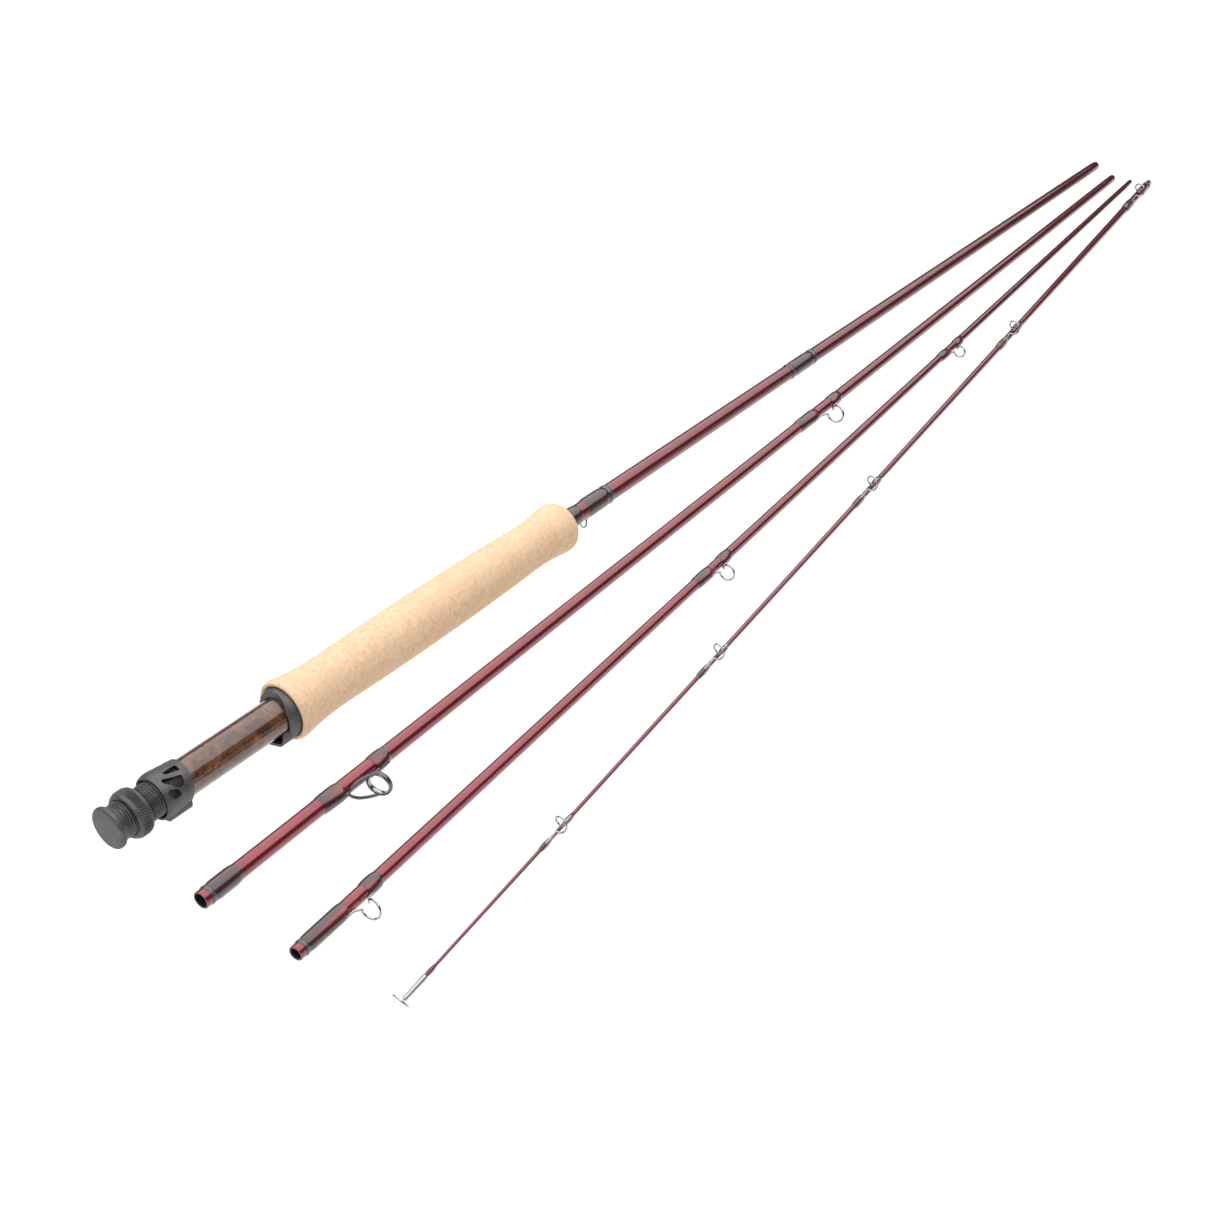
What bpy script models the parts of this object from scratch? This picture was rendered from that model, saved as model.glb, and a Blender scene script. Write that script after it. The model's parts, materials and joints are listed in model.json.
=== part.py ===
"""Four-piece fly rod, taken down, with its sections lying in a fan on a flat floor.

Lengths are in metres and +Z is up. Each section is built along its own +X from its near end, with
its guides or its reel foot towards its own -Z, and hangs from an empty that turns it into place.
"""

import math

import bmesh
import bpy
from mathutils import Matrix, Vector

MM = 0.001
SECTION_LENGTH = 735 * MM
STEPS = 24
THIN_STEPS = 16
GAP = 0.3 * MM
WRAP_GAP = 0.12 * MM

# Reel seat
CAP_RADIUS = 9.2 * MM
CAP_THICKNESS = 2.7 * MM
BARREL = (4.9 * MM, 36.6 * MM)
BARREL_BORE = 5.8 * MM
THREAD_CREST = 7.7 * MM
THREAD_ROOT = 7.2 * MM
THREAD_PITCH = 1.27 * MM
THREAD_TURNS = 24
BARREL_FLAT = 6.6 * MM
LOCK_RING = (8.7 * MM, 16.2 * MM)
LOCK_RING_RADIUS = 10.1 * MM
LOCK_RING_BORE = 7.95 * MM
O_RING_STATION = 12.6 * MM
HOOD = (22.9 * MM, 39.4 * MM)
HOOD_RADIUS = 10.2 * MM
HOOD_FRONT_RADIUS = 8.95 * MM
HOOD_SLANT = (35.1 * MM, 4.3 * MM)
HOOD_BORE = 8.4 * MM
HOOD_REACH = 10.2 * MM
SLANT_REACH = 12.7 * MM
POCKET_HALF_WIDTH = 5.2 * MM
POCKET_WALL = 1.0 * MM
WINDOW_RADII = (7.8 * MM, 12.0 * MM)
TOP_WINDOW = ((28.6 * MM, 24.0), (36.3 * MM, 22.0), (35.4 * MM, 39.0), (29.2 * MM, 28.0))
SIDE_WINDOW = ((26.0 * MM, 37.0), (34.6 * MM, 51.5), (33.0 * MM, 75.0), (30.5 * MM, 71.0),
               (26.2 * MM, 46.0))
LOW_WINDOW = ((25.9 * MM, 65.5), (29.8 * MM, 75.5), (30.4 * MM, 90.0), (27.0 * MM, 92.0),
              (25.4 * MM, 76.0))
NEAR_WINDOWS = (TOP_WINDOW, SIDE_WINDOW, LOW_WINDOW)
HOOD_WINDOWS = NEAR_WINDOWS + tuple(
    tuple((station, -degrees) for station, degrees in window) for window in NEAR_WINDOWS)
WOOD = (36.8 * MM, 92.0 * MM)
WOOD_RADIUS = 8.0 * MM
WOOD_BORE = 5.8 * MM
MORTISE = (41.0 * MM, 80.0 * MM)
MORTISE_DEPTH = 6.5 * MM
POCKET_FLOOR = 6.7 * MM
FIXED_HOOD = (89.2 * MM, 103.6 * MM)
FIXED_HOOD_LIP = 84.5 * MM
FIXED_HOOD_RADIUS = 11.2 * MM
FIXED_HOOD_BORE = 8.3 * MM
FIXED_HOOD_SLANT = 7.6 * MM

# Grip and butt blank
CORK = (93.5 * MM, 269.0 * MM)
CORK_SHAPE = (
    (96.0 * MM, 13.65 * MM),
    (98.5 * MM, 13.25 * MM),
    (104.0 * MM, 12.55 * MM),
    (111.0 * MM, 11.9 * MM),
    (122.0 * MM, 11.55 * MM),
    (136.0 * MM, 11.85 * MM),
    (158.0 * MM, 12.0 * MM),
    (182.0 * MM, 11.9 * MM),
    (206.0 * MM, 11.6 * MM),
    (230.0 * MM, 10.95 * MM),
    (243.0 * MM, 10.45 * MM),
    (250.0 * MM, 10.5 * MM),
    (257.0 * MM, 11.1 * MM),
    (262.0 * MM, 11.65 * MM),
)
BLANK_START = 14 * MM
STRAIGHT_RADIUS = 4.7 * MM
STRAIGHT_END = 197 * MM
TUBE_WALL = 0.9 * MM



def clear_scene():
    for obj in list(bpy.data.objects):
        bpy.data.objects.remove(obj, do_unlink=True)


def make_material(name, colour, metallic=0.0, roughness=0.4):
    material = bpy.data.materials.new(name)
    material.use_nodes = True
    shader = material.node_tree.nodes["Principled BSDF"]
    shader.inputs["Base Color"].default_value = (*colour, 1.0)
    shader.inputs["Metallic"].default_value = metallic
    shader.inputs["Roughness"].default_value = roughness
    return material


class Workshop:
    """Makes the nodes: it knows their collection, their materials and the section in hand."""

    def __init__(self):
        self.parts = bpy.data.collections.new("fly_rod")
        self.helpers = bpy.data.collections.new("helpers")
        for collection in (self.parts, self.helpers):
            bpy.context.scene.collection.children.link(collection)
        self.root = bpy.data.objects.new("fly_rod_root", None)
        self.parts.objects.link(self.root)
        self.section = self.root
        self.materials = {}

    def start_section(self, name, start, height, roll, pitch, heading):
        """Hang the next nodes from a section whose near end is at start, with its axis that high."""
        self.section = bpy.data.objects.new(name, None)
        self.parts.objects.link(self.section)
        self.section.parent = self.root
        self.section.location = (start[0], start[1], height)
        self.section.rotation_euler = tuple(math.radians(angle) for angle in (roll, pitch, heading))

    def add(self, name, mesh, material, along_axis=True):
        """Add a mesh as a node of the section in hand."""
        obj = bpy.data.objects.new(name, mesh)
        obj.data.materials.clear()
        obj.data.materials.append(self.materials[material])
        obj.parent = self.section
        if along_axis:
            obj.rotation_euler = (0.0, math.pi / 2, 0.0)
        self.parts.objects.link(obj)
        return obj

    def turned(self, name, profile, material, closed=True, steps=STEPS):
        """Turn a profile of (station, radius) points: down the outside, then back up the bore."""
        mesh = bpy.data.meshes.new(name)
        points = [(radius, 0.0, station) for station, radius in profile]
        count = len(points)
        last = count if closed else count - 1
        mesh.from_pydata(points, [(i, (i + 1) % count) for i in range(last)], [])
        obj = self.add(name, mesh, material)
        screw = obj.modifiers.new("turn", "SCREW")
        screw.steps = steps
        screw.render_steps = steps
        screw.use_merge_vertices = True
        screw.merge_threshold = 1e-5
        screw.use_smooth_shade = False
        return obj

    def sleeve(self, name, stations, outer, bore, material, edge=0.0, steps=STEPS):
        """Turn a plain sleeve with an optional chamfer at both outer edges."""
        low, high = stations
        profile = [(high, outer - edge), (high - edge, outer)] if edge else [(high, outer)]
        profile += [(low + edge, outer), (low, outer - edge)] if edge else [(low, outer)]
        profile += [(low, bore), (high, bore)]
        return self.turned(name, profile, material, steps=steps)

    def cutter(self, name, mesh):
        """Keep a mesh as a hidden Boolean operand in the section's own frame."""
        obj = bpy.data.objects.new(name, mesh)
        obj.parent = self.section
        obj.hide_render = True
        obj.display_type = "WIRE"
        self.helpers.objects.link(obj)
        return obj

    def rod(self, name, stations, radius):
        """Make a hidden round bar on the section's axis."""
        low, high = stations
        bm = bmesh.new()
        bmesh.ops.create_cone(bm, cap_ends=True, segments=32, radius1=radius, radius2=radius,
                              depth=high - low)
        for vert in bm.verts:
            vert.co = Vector((vert.co.z + (low + high) / 2, vert.co.y, -vert.co.x))
        mesh = bpy.data.meshes.new(name)
        bm.to_mesh(mesh)
        bm.free()
        return self.cutter(name, mesh)

    def box(self, name, low, high, bevel=0.0, slant=0.0):
        """Make a hidden box in the section's frame; slant moves its top towards +X."""
        bm = bmesh.new()
        bmesh.ops.create_cube(bm, size=1.0)
        for vert in bm.verts:
            unit = vert.co + Vector((0.5, 0.5, 0.5))
            vert.co = Vector([a + (b - a) * t for a, b, t in zip(low, high, unit)])
            vert.co.x += slant * unit.z
        if bevel:
            lengthwise = [e for e in bm.edges if abs(e.verts[0].co.x - e.verts[1].co.x) > bevel]
            floor_edges = [e for e in lengthwise if max(v.co.z for v in e.verts) < low[2] + 1e-6]
            bmesh.ops.bevel(bm, geom=floor_edges, offset=bevel, segments=3, affect="EDGES",
                            profile=0.5)
        mesh = bpy.data.meshes.new(name)
        bm.to_mesh(mesh)
        bm.free()
        return self.cutter(name, mesh)

    def wire_mesh(self, points, diameter):
        """Give a round wire that follows the points, with flat ends."""
        curve = bpy.data.curves.new("wire", "CURVE")
        curve.dimensions = "3D"
        curve.bevel_depth = diameter / 2
        curve.bevel_resolution = 2
        curve.use_fill_caps = True
        spline = curve.splines.new("POLY")
        spline.points.add(len(points) - 1)
        for point, place in zip(spline.points, points):
            point.co = (*place, 1.0)
        obj = bpy.data.objects.new("wire", curve)
        self.helpers.objects.link(obj)
        bpy.context.view_layer.update()
        mesh = bpy.data.meshes.new_from_object(obj.evaluated_get(bpy.context.evaluated_depsgraph_get()))
        bpy.data.objects.remove(obj)
        bm = bmesh.new()
        bm.from_mesh(mesh)
        bmesh.ops.remove_doubles(bm, verts=bm.verts, dist=1e-6)
        bmesh.ops.recalc_face_normals(bm, faces=bm.faces)
        bm.to_mesh(mesh)
        bm.free()
        return mesh

    def wire(self, name, points, diameter, material):
        """Add a wire through (station, sideways, height) points as a node."""
        placed = [(station, side, -height) for station, side, height in points]
        return self.add(name, self.wire_mesh(placed, diameter), material, along_axis=False)


def combine(obj, operation, other):
    """Join, cut or keep with an exact Boolean."""
    modifier = obj.modifiers.new(operation.lower(), "BOOLEAN")
    modifier.operation = operation
    modifier.solver = "EXACT"
    modifier.object = other


def make_materials():
    return {
        "rod_blank": make_material("rod_blank", (0.22, 0.02, 0.03), roughness=0.1),
        "thread_wrap": make_material("thread_wrap", (0.06, 0.015, 0.018), roughness=0.1),
        "trim_thread": make_material("trim_thread", (0.13, 0.16, 0.19), roughness=0.3),
        "cork": make_material("cork", (0.75, 0.53, 0.33), roughness=0.8),
        "burl_wood": make_material("burl_wood", (0.22, 0.09, 0.03), roughness=0.15),
        "anodised": make_material("anodised", (0.07, 0.07, 0.068), 0.8, 0.45),
        "guide_chrome": make_material("guide_chrome", (0.65, 0.65, 0.66), 1.0, 0.15),
        "gunmetal": make_material("gunmetal", (0.16, 0.16, 0.17), 1.0, 0.3),
        "seal_rubber": make_material("seal_rubber", (0.02, 0.02, 0.02), roughness=0.7),
        "fibre": make_material("fibre", (0.5, 0.42, 0.3), roughness=0.9),
    }


def blank_profile(radius_at, start, end, socket_radius, socket_depth):
    """Outline a tapered rod that's rounded at its far end and has a socket in its near one."""
    tip = radius_at(end)
    profile = [
        (end, 0.0),
        (end - 0.15 * tip, 0.6 * tip),
        (end - 0.6 * tip, tip),
        (start, radius_at(start)),
        (start, socket_radius),
        (start + socket_depth, socket_radius),
        (start + socket_depth + socket_radius, 0.0),
    ]
    return profile


def butt_radius(station):
    """Radius of the butt blank, which only tapers beyond the grip's middle."""
    taper = (2.6 * MM - STRAIGHT_RADIUS) / (SECTION_LENGTH - STRAIGHT_END)
    return STRAIGHT_RADIUS + taper * max(0.0, station - STRAIGHT_END)


def linear_radius(near, far):
    """Radius of a blank with a straight taper, from its two end radii."""
    return lambda station: near + (far - near) * station / SECTION_LENGTH


def wrap(shop, name, stations, rise, radius_at, material="thread_wrap", steps=STEPS):
    """Add a thread wrap: a sleeve that swells in the middle and tapers to its ends."""
    low, high = stations
    ramp = min(2.5 * MM, (high - low) / 3)
    inner = [(s, radius_at(s) + WRAP_GAP) for s in (low, high)]
    thin = 0.14 * MM
    profile = [
        (high, inner[1][1] + thin),
        (high - ramp, radius_at(high - ramp) + WRAP_GAP + rise),
        (low + ramp, radius_at(low + ramp) + WRAP_GAP + rise),
        (low, inner[0][1] + thin),
        *inner,
    ]
    return shop.turned(name, profile, material, steps=steps)


def trim_band(shop, name, stations, radius_at, steps=STEPS):
    """Add a narrow trim band, whose outline is a plain tapered sleeve."""
    low, high = stations
    profile = [(s, radius_at(s) + WRAP_GAP + 0.3 * MM) for s in (high, low)]
    profile += [(s, radius_at(s) + WRAP_GAP) for s in (low, high)]
    return shop.turned(name, profile, "trim_thread", steps=steps)


def snake_guide(shop, name, centre, rear_face, front_face, loop, height, wire, radius_at):
    """Add a snake guide: a foot at each end, and between them one full turn round the line's path."""
    foot = lambda s: radius_at(s) + wire / 2 + 0.15 * MM
    radius = (loop - wire) / 2
    pitch = 0.42 * (front_face - rear_face)
    points = [(rear_face + 0.2 * MM, 0.0, foot(rear_face)), (rear_face + 1.1 * MM, 0.0, foot(rear_face))]
    turns = 18
    for i in range(turns + 1):
        angle = 2 * math.pi * i / turns
        station = centre + pitch * (i / turns - 0.5)
        points.append((station, radius * math.sin(angle), height - radius * math.cos(angle)))
    points += [(front_face - 1.1 * MM, 0.0, foot(front_face)), (front_face - 0.2 * MM, 0.0, foot(front_face))]
    return shop.wire(name, points, wire, "guide_chrome")


def window_mesh(corners):
    """Give a radial prism over a triangle of (station, degrees from the top) corners."""
    bm = bmesh.new()
    rings = []
    for radius in WINDOW_RADII:
        ring = []
        for station, degrees in corners:
            turn = math.radians(degrees)
            ring.append(bm.verts.new((station, radius * math.sin(turn), radius * math.cos(turn))))
        rings.append(ring)
    bm.faces.new(rings[0])
    bm.faces.new(rings[1][::-1])
    for i in range(3):
        j = (i + 1) % 3
        bm.faces.new((rings[0][i], rings[0][j], rings[1][j], rings[1][i]))
    bmesh.ops.recalc_face_normals(bm, faces=bm.faces)
    mesh = bpy.data.meshes.new("window")
    bm.to_mesh(mesh)
    bm.free()
    return mesh


def build_reel_seat(shop):
    cap_end = 12 * MM
    cap = [
        (cap_end, 0.0),
        (cap_end, 5.5 * MM),
        (4.6 * MM, 5.5 * MM),
        (4.6 * MM, 7.5 * MM),
        (CAP_THICKNESS, 8.3 * MM),
        (CAP_THICKNESS - 0.6 * MM, CAP_RADIUS),
        (0.9 * MM, CAP_RADIUS),
        (0.0, CAP_RADIUS - 0.9 * MM),
        (0.0, 0.0),
    ]
    shop.turned("butt_cap", cap, "anodised", closed=False)

    thread_end = BARREL[0] + 0.4 * MM + THREAD_TURNS * THREAD_PITCH
    threads = [(BARREL[1], THREAD_ROOT), (thread_end, THREAD_ROOT)]
    for turn in range(THREAD_TURNS, 0, -1):
        ridge = BARREL[0] + 0.4 * MM + (turn - 0.5) * THREAD_PITCH
        threads += [(ridge, THREAD_CREST), (ridge - THREAD_PITCH / 2, THREAD_ROOT)]
    threads += [(BARREL[0], THREAD_ROOT), (BARREL[0], BARREL_BORE), (BARREL[1], BARREL_BORE)]
    barrel = shop.turned("seat_barrel", threads, "anodised")
    far = 20 * MM
    combine(barrel, "DIFFERENCE",
            shop.box("barrel_flat", (20 * MM, -far, -far), (45 * MM, far, -BARREL_FLAT)))

    low, high = LOCK_RING
    groove = 9.1 * MM
    half = 0.7 * MM
    ring = [
        (high, LOCK_RING_RADIUS - 1.0 * MM),
        (high - 1.0 * MM, LOCK_RING_RADIUS),
        (low + 2.0 * MM, LOCK_RING_RADIUS),
        (low, LOCK_RING_RADIUS - 1.1 * MM),
        (low, LOCK_RING_BORE),
        (O_RING_STATION - half, LOCK_RING_BORE),
        (O_RING_STATION - half, groove),
        (O_RING_STATION + half, groove),
        (O_RING_STATION + half, LOCK_RING_BORE),
        (high, LOCK_RING_BORE),
    ]
    shop.turned("lock_ring", ring, "anodised", steps=32)
    o_ring = (O_RING_STATION - 0.5 * MM, O_RING_STATION + 0.5 * MM)
    shop.sleeve("lock_ring_o_ring", o_ring, 8.9 * MM, 7.9 * MM, "seal_rubber", edge=0.2 * MM)

    low, high = HOOD
    outline = [(high, HOOD_FRONT_RADIUS), (27 * MM, HOOD_RADIUS), (24.8 * MM, HOOD_RADIUS - 0.05 * MM),
               (low, 9.4 * MM), (low, HOOD_BORE), (high, HOOD_BORE)]
    hood = shop.turned("sliding_hood", outline, "anodised", steps=32)
    reach = POCKET_HALF_WIDTH + POCKET_WALL
    combine(hood, "UNION", shop.box("hood_bulge", (24.6 * MM, -reach, -HOOD_REACH),
                                    (high, reach, -6 * MM), bevel=2 * MM))
    combine(hood, "DIFFERENCE", shop.rod("hood_bore", (low - MM, high + MM), HOOD_BORE))
    combine(hood, "DIFFERENCE", shop.box("hood_pocket",
                                         (25.8 * MM, -POCKET_HALF_WIDTH, POCKET_WALL - HOOD_REACH),
                                         (high + MM, POCKET_HALF_WIDTH, -4 * MM), bevel=1.2 * MM))
    front, slant = HOOD_SLANT
    combine(hood, "DIFFERENCE", shop.box("hood_slant", (front, -far, -SLANT_REACH),
                                         (front + 30 * MM, far, SLANT_REACH), slant=slant))
    for number, corners in enumerate(HOOD_WINDOWS):
        combine(hood, "DIFFERENCE", shop.cutter(f"hood_window_{number}", window_mesh(corners)))

    wood = shop.sleeve("wood_insert", WOOD, WOOD_RADIUS, WOOD_BORE, "burl_wood", edge=0.3 * MM,
                       steps=32)
    combine(wood, "DIFFERENCE", shop.box("foot_floor", (WOOD[0] - MM, -far, -far),
                                         (WOOD[1] + MM, far, -POCKET_FLOOR)))
    combine(wood, "DIFFERENCE", shop.box("mortise", (MORTISE[0], -far, -far),
                                         (MORTISE[1], far, -MORTISE_DEPTH)))

    low, high = FIXED_HOOD
    floor = WOOD[1] + GAP
    outline = [(high, FIXED_HOOD_RADIUS), (93.0 * MM, FIXED_HOOD_RADIUS), (91.3 * MM, 10.7 * MM),
               (89.9 * MM, 9.6 * MM), (low, 8.9 * MM), (low, FIXED_HOOD_BORE),
               (floor, FIXED_HOOD_BORE), (floor, STRAIGHT_RADIUS + GAP),
               (high, STRAIGHT_RADIUS + GAP)]
    fixed = shop.turned("fixed_hood", outline, "anodised", steps=32)
    end = CORK[0] - GAP
    lip = FIXED_HOOD_LIP
    combine(fixed, "UNION", shop.box("fixed_bulge", (lip - MM, -reach, -FIXED_HOOD_RADIUS),
                                     (end, reach, -5 * MM), bevel=3 * MM))
    combine(fixed, "DIFFERENCE", shop.rod("fixed_bore", (lip - 5 * MM, floor), FIXED_HOOD_BORE))
    combine(fixed, "DIFFERENCE", shop.box("fixed_pocket",
                                          (lip - 5 * MM, -POCKET_HALF_WIDTH,
                                           POCKET_WALL - FIXED_HOOD_RADIUS),
                                          (end - 1.2 * MM, POCKET_HALF_WIDTH, -4 * MM),
                                          bevel=2 * MM))
    combine(fixed, "DIFFERENCE", shop.box("fixed_slant", (lip - 30 * MM, -far, -SLANT_REACH),
                                          (lip, far, SLANT_REACH), slant=FIXED_HOOD_SLANT))

    for name, stations in (("seat_arbor_rear", (16 * MM, 34 * MM)),
                           ("seat_arbor_front", (68 * MM, 88 * MM))):
        shop.sleeve(name, stations, WOOD_BORE - 0.15 * MM, STRAIGHT_RADIUS + 0.15 * MM, "fibre")


def build_grip(shop):
    low, high = CORK
    bore = STRAIGHT_RADIUS + 0.15 * MM
    well = FIXED_HOOD_RADIUS + 0.2 * MM
    well_end = FIXED_HOOD[1] + GAP
    profile = [(high, 6.5 * MM), (high - 0.8 * MM, 9.3 * MM), (high - 3.0 * MM, 11.6 * MM)]
    profile += list(reversed(CORK_SHAPE))
    profile += [(low + 0.8 * MM, 13.3 * MM), (low, 12.6 * MM), (low, well), (well_end, well),
                (well_end, bore), (high, bore)]
    shop.turned("cork_grip", profile, "cork", steps=32)


def build_butt_section(shop):
    shop.start_section("butt_section", (0.0, 0.5 * MM), 14.85 * MM, -16.0, 0.6626, 0.0)
    build_reel_seat(shop)
    build_grip(shop)
    tip = butt_radius(SECTION_LENGTH)
    bore_end = SECTION_LENGTH - 20 * MM
    blank = [
        (SECTION_LENGTH, 0.0),
        (SECTION_LENGTH - 0.15 * tip, 0.6 * tip),
        (SECTION_LENGTH - 0.6 * tip, tip),
        (STRAIGHT_END, STRAIGHT_RADIUS),
        (BLANK_START, STRAIGHT_RADIUS),
        (BLANK_START, STRAIGHT_RADIUS - TUBE_WALL),
        (STRAIGHT_END, STRAIGHT_RADIUS - TUBE_WALL),
        (bore_end, butt_radius(bore_end) - TUBE_WALL),
        (bore_end + 2 * MM, 0.0),
    ]
    shop.turned("butt_blank", blank, "rod_blank", closed=False)

    wrap(shop, "grip_wrap", (269.5 * MM, 278.7 * MM), 0.3 * MM, butt_radius)
    wrap(shop, "keeper_wrap", (283.4 * MM, 297.6 * MM), 0.35 * MM, butt_radius)
    trim_band(shop, "keeper_trim", (297.9 * MM, 300.2 * MM), butt_radius)
    trim_band(shop, "signature_trim_rear", (439.4 * MM, 441.6 * MM), butt_radius)
    wrap(shop, "signature_wrap", (441.8 * MM, 457.5 * MM), 0.2 * MM, butt_radius)
    trim_band(shop, "signature_trim_front", (457.7 * MM, 460.2 * MM), butt_radius)

    low, high = 279.35 * MM, 283.0 * MM
    foot = butt_radius(low) + 0.55 * MM
    bend = (high - low) / 2
    top = 8.0 * MM - 0.4 * MM - bend
    loop = [(low, 0.0, foot), (low, 0.0, top)]
    loop += [(low + bend - bend * math.cos(math.pi * i / 6), 0.0, top + bend * math.sin(math.pi * i / 6))
             for i in range(1, 6)]
    loop += [(high, 0.0, top), (high, 0.0, foot)]
    keeper = shop.wire("hook_keeper", loop, 0.8 * MM, "guide_chrome")
    keeper.rotation_euler = (math.radians(-4), 0.0, 0.0)


def build_stripping_guide(shop, radius_at):
    """Add the stripping guide: a ring that leans to the tip, on two splayed rear legs and one front foot."""
    centre = Vector((90.6 * MM, 0.0, -9.9 * MM))
    lean = math.radians(-14)
    outer, seat, bore = 5.85 * MM, 4.95 * MM, 4.0 * MM
    tilt = Matrix.Translation(centre) @ Matrix.Rotation(math.pi / 2 + lean, 4, "Y")

    def tilted(name, profile, material):
        ring = shop.turned(name, profile, material, steps=32)
        ring.rotation_euler = (0.0, 0.0, 0.0)
        ring.matrix_local = tilt
        return ring

    half = 0.9 * MM
    frame = tilted("stripping_guide_frame", [(half, outer - 0.3 * MM), (0.0, outer),
                                             (-half, outer - 0.3 * MM), (-half, seat), (half, seat)],
                   "gunmetal")
    tilted("stripping_guide_ring", [(1.1 * MM, bore + 0.4 * MM), (0.6 * MM, seat - 0.12 * MM),
                                    (-0.6 * MM, seat - 0.12 * MM), (-1.1 * MM, bore + 0.4 * MM),
                                    (0.0, bore)], "guide_chrome")
    wire = 1.1 * MM
    rear = 78.2 * MM
    foot = radius_at(rear) + wire / 2 + 0.15 * MM
    legs = []
    for side in (-1, 1):
        legs.append([(rear, 0.0, foot), (79.0 * MM, side * 0.6 * MM, foot),
                     (80.1 * MM, side * 2.2 * MM, 4.7 * MM), (82.3 * MM, side * 3.9 * MM, 5.6 * MM),
                     (85.4 * MM, side * 5.0 * MM, 7.1 * MM), (88.4 * MM, side * 5.35 * MM, 8.7 * MM),
                     (90.5 * MM, side * 5.4 * MM, 9.9 * MM)])
    legs.append([(88.9 * MM, 0.0, 4.9 * MM), (89.9 * MM, 0.0, foot + 0.1 * MM),
                 (96.3 * MM, 0.0, foot)])
    for number, points in enumerate(legs):
        placed = [(station, side, -height) for station, side, height in points]
        leg = shop.cutter(f"guide_leg_{number}", shop.wire_mesh(placed, wire))
        combine(frame, "UNION", leg)


def build_mid_section_1(shop):
    shop.start_section("mid_section_1", (0.0, -50.4 * MM), 7.15 * MM, -90.0, 0.370, 3.06)
    radius_at = linear_radius(3.8 * MM, 2.175 * MM)
    shop.turned("mid1_blank", blank_profile(radius_at, 0.0, SECTION_LENGTH, 2.9 * MM, 60 * MM),
                "rod_blank", closed=False)
    trim_band(shop, "mid1_ferrule_trim", (2.9 * MM, 4.8 * MM), radius_at)
    wrap(shop, "mid1_ferrule_wrap", (5.0 * MM, 19.4 * MM), 0.4 * MM, radius_at)
    wrap(shop, "stripping_guide_rear_wrap", (65.8 * MM, 78.0 * MM), 0.35 * MM, radius_at)
    wrap(shop, "stripping_guide_front_wrap", (96.5 * MM, 105.4 * MM), 0.35 * MM, radius_at)
    build_stripping_guide(shop, radius_at)
    wrap(shop, "mid1_snake_rear_wrap", (408.2 * MM, 423.7 * MM), 0.32 * MM, radius_at)
    wrap(shop, "mid1_snake_front_wrap", (436.2 * MM, 444.5 * MM), 0.32 * MM, radius_at)
    snake_guide(shop, "mid1_snake_guide", 430 * MM, 423.7 * MM, 436.2 * MM, 8.2 * MM, 8.85 * MM,
                0.9 * MM, radius_at)


def build_mid_section_2(shop):
    shop.start_section("mid_section_2", (3.5 * MM, -96.6 * MM), 4.6 * MM, -88.0, 0.1325, 5.83)
    radius_at = linear_radius(3.2 * MM, 1.425 * MM)
    shop.turned("mid2_blank", blank_profile(radius_at, 0.0, SECTION_LENGTH, 2.25 * MM, 50 * MM),
                "rod_blank", closed=False)
    trim_band(shop, "mid2_ferrule_trim", (2.9 * MM, 4.8 * MM), radius_at)
    wrap(shop, "mid2_ferrule_wrap", (5.0 * MM, 28.2 * MM), 0.3 * MM, radius_at)
    wrap(shop, "mid2_snake_1_front_wrap", (39.5 * MM, 48.8 * MM), 0.4 * MM, radius_at)
    wraps = (("mid2_snake_2_rear_wrap", 274.2, 286.0), ("mid2_snake_2_front_wrap", 294.1, 302.2),
             ("mid2_snake_3_rear_wrap", 504.1, 511.9), ("mid2_snake_3_front_wrap", 520.3, 527.2))
    for name, low, high in wraps:
        wrap(shop, name, (low * MM, high * MM), 0.3 * MM, radius_at)
    guides = ((34.0, 28.2, 39.5, 8.0, 9.2), (290.0, 286.0, 294.1, 7.3, 7.5),
              (516.0, 511.9, 520.3, 5.8, 5.8))
    for number, (centre, rear, front, loop, height) in enumerate(guides, 1):
        snake_guide(shop, f"mid2_snake_guide_{number}", centre * MM, rear * MM, front * MM, loop * MM,
                    height * MM, 0.8 * MM, radius_at)


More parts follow.
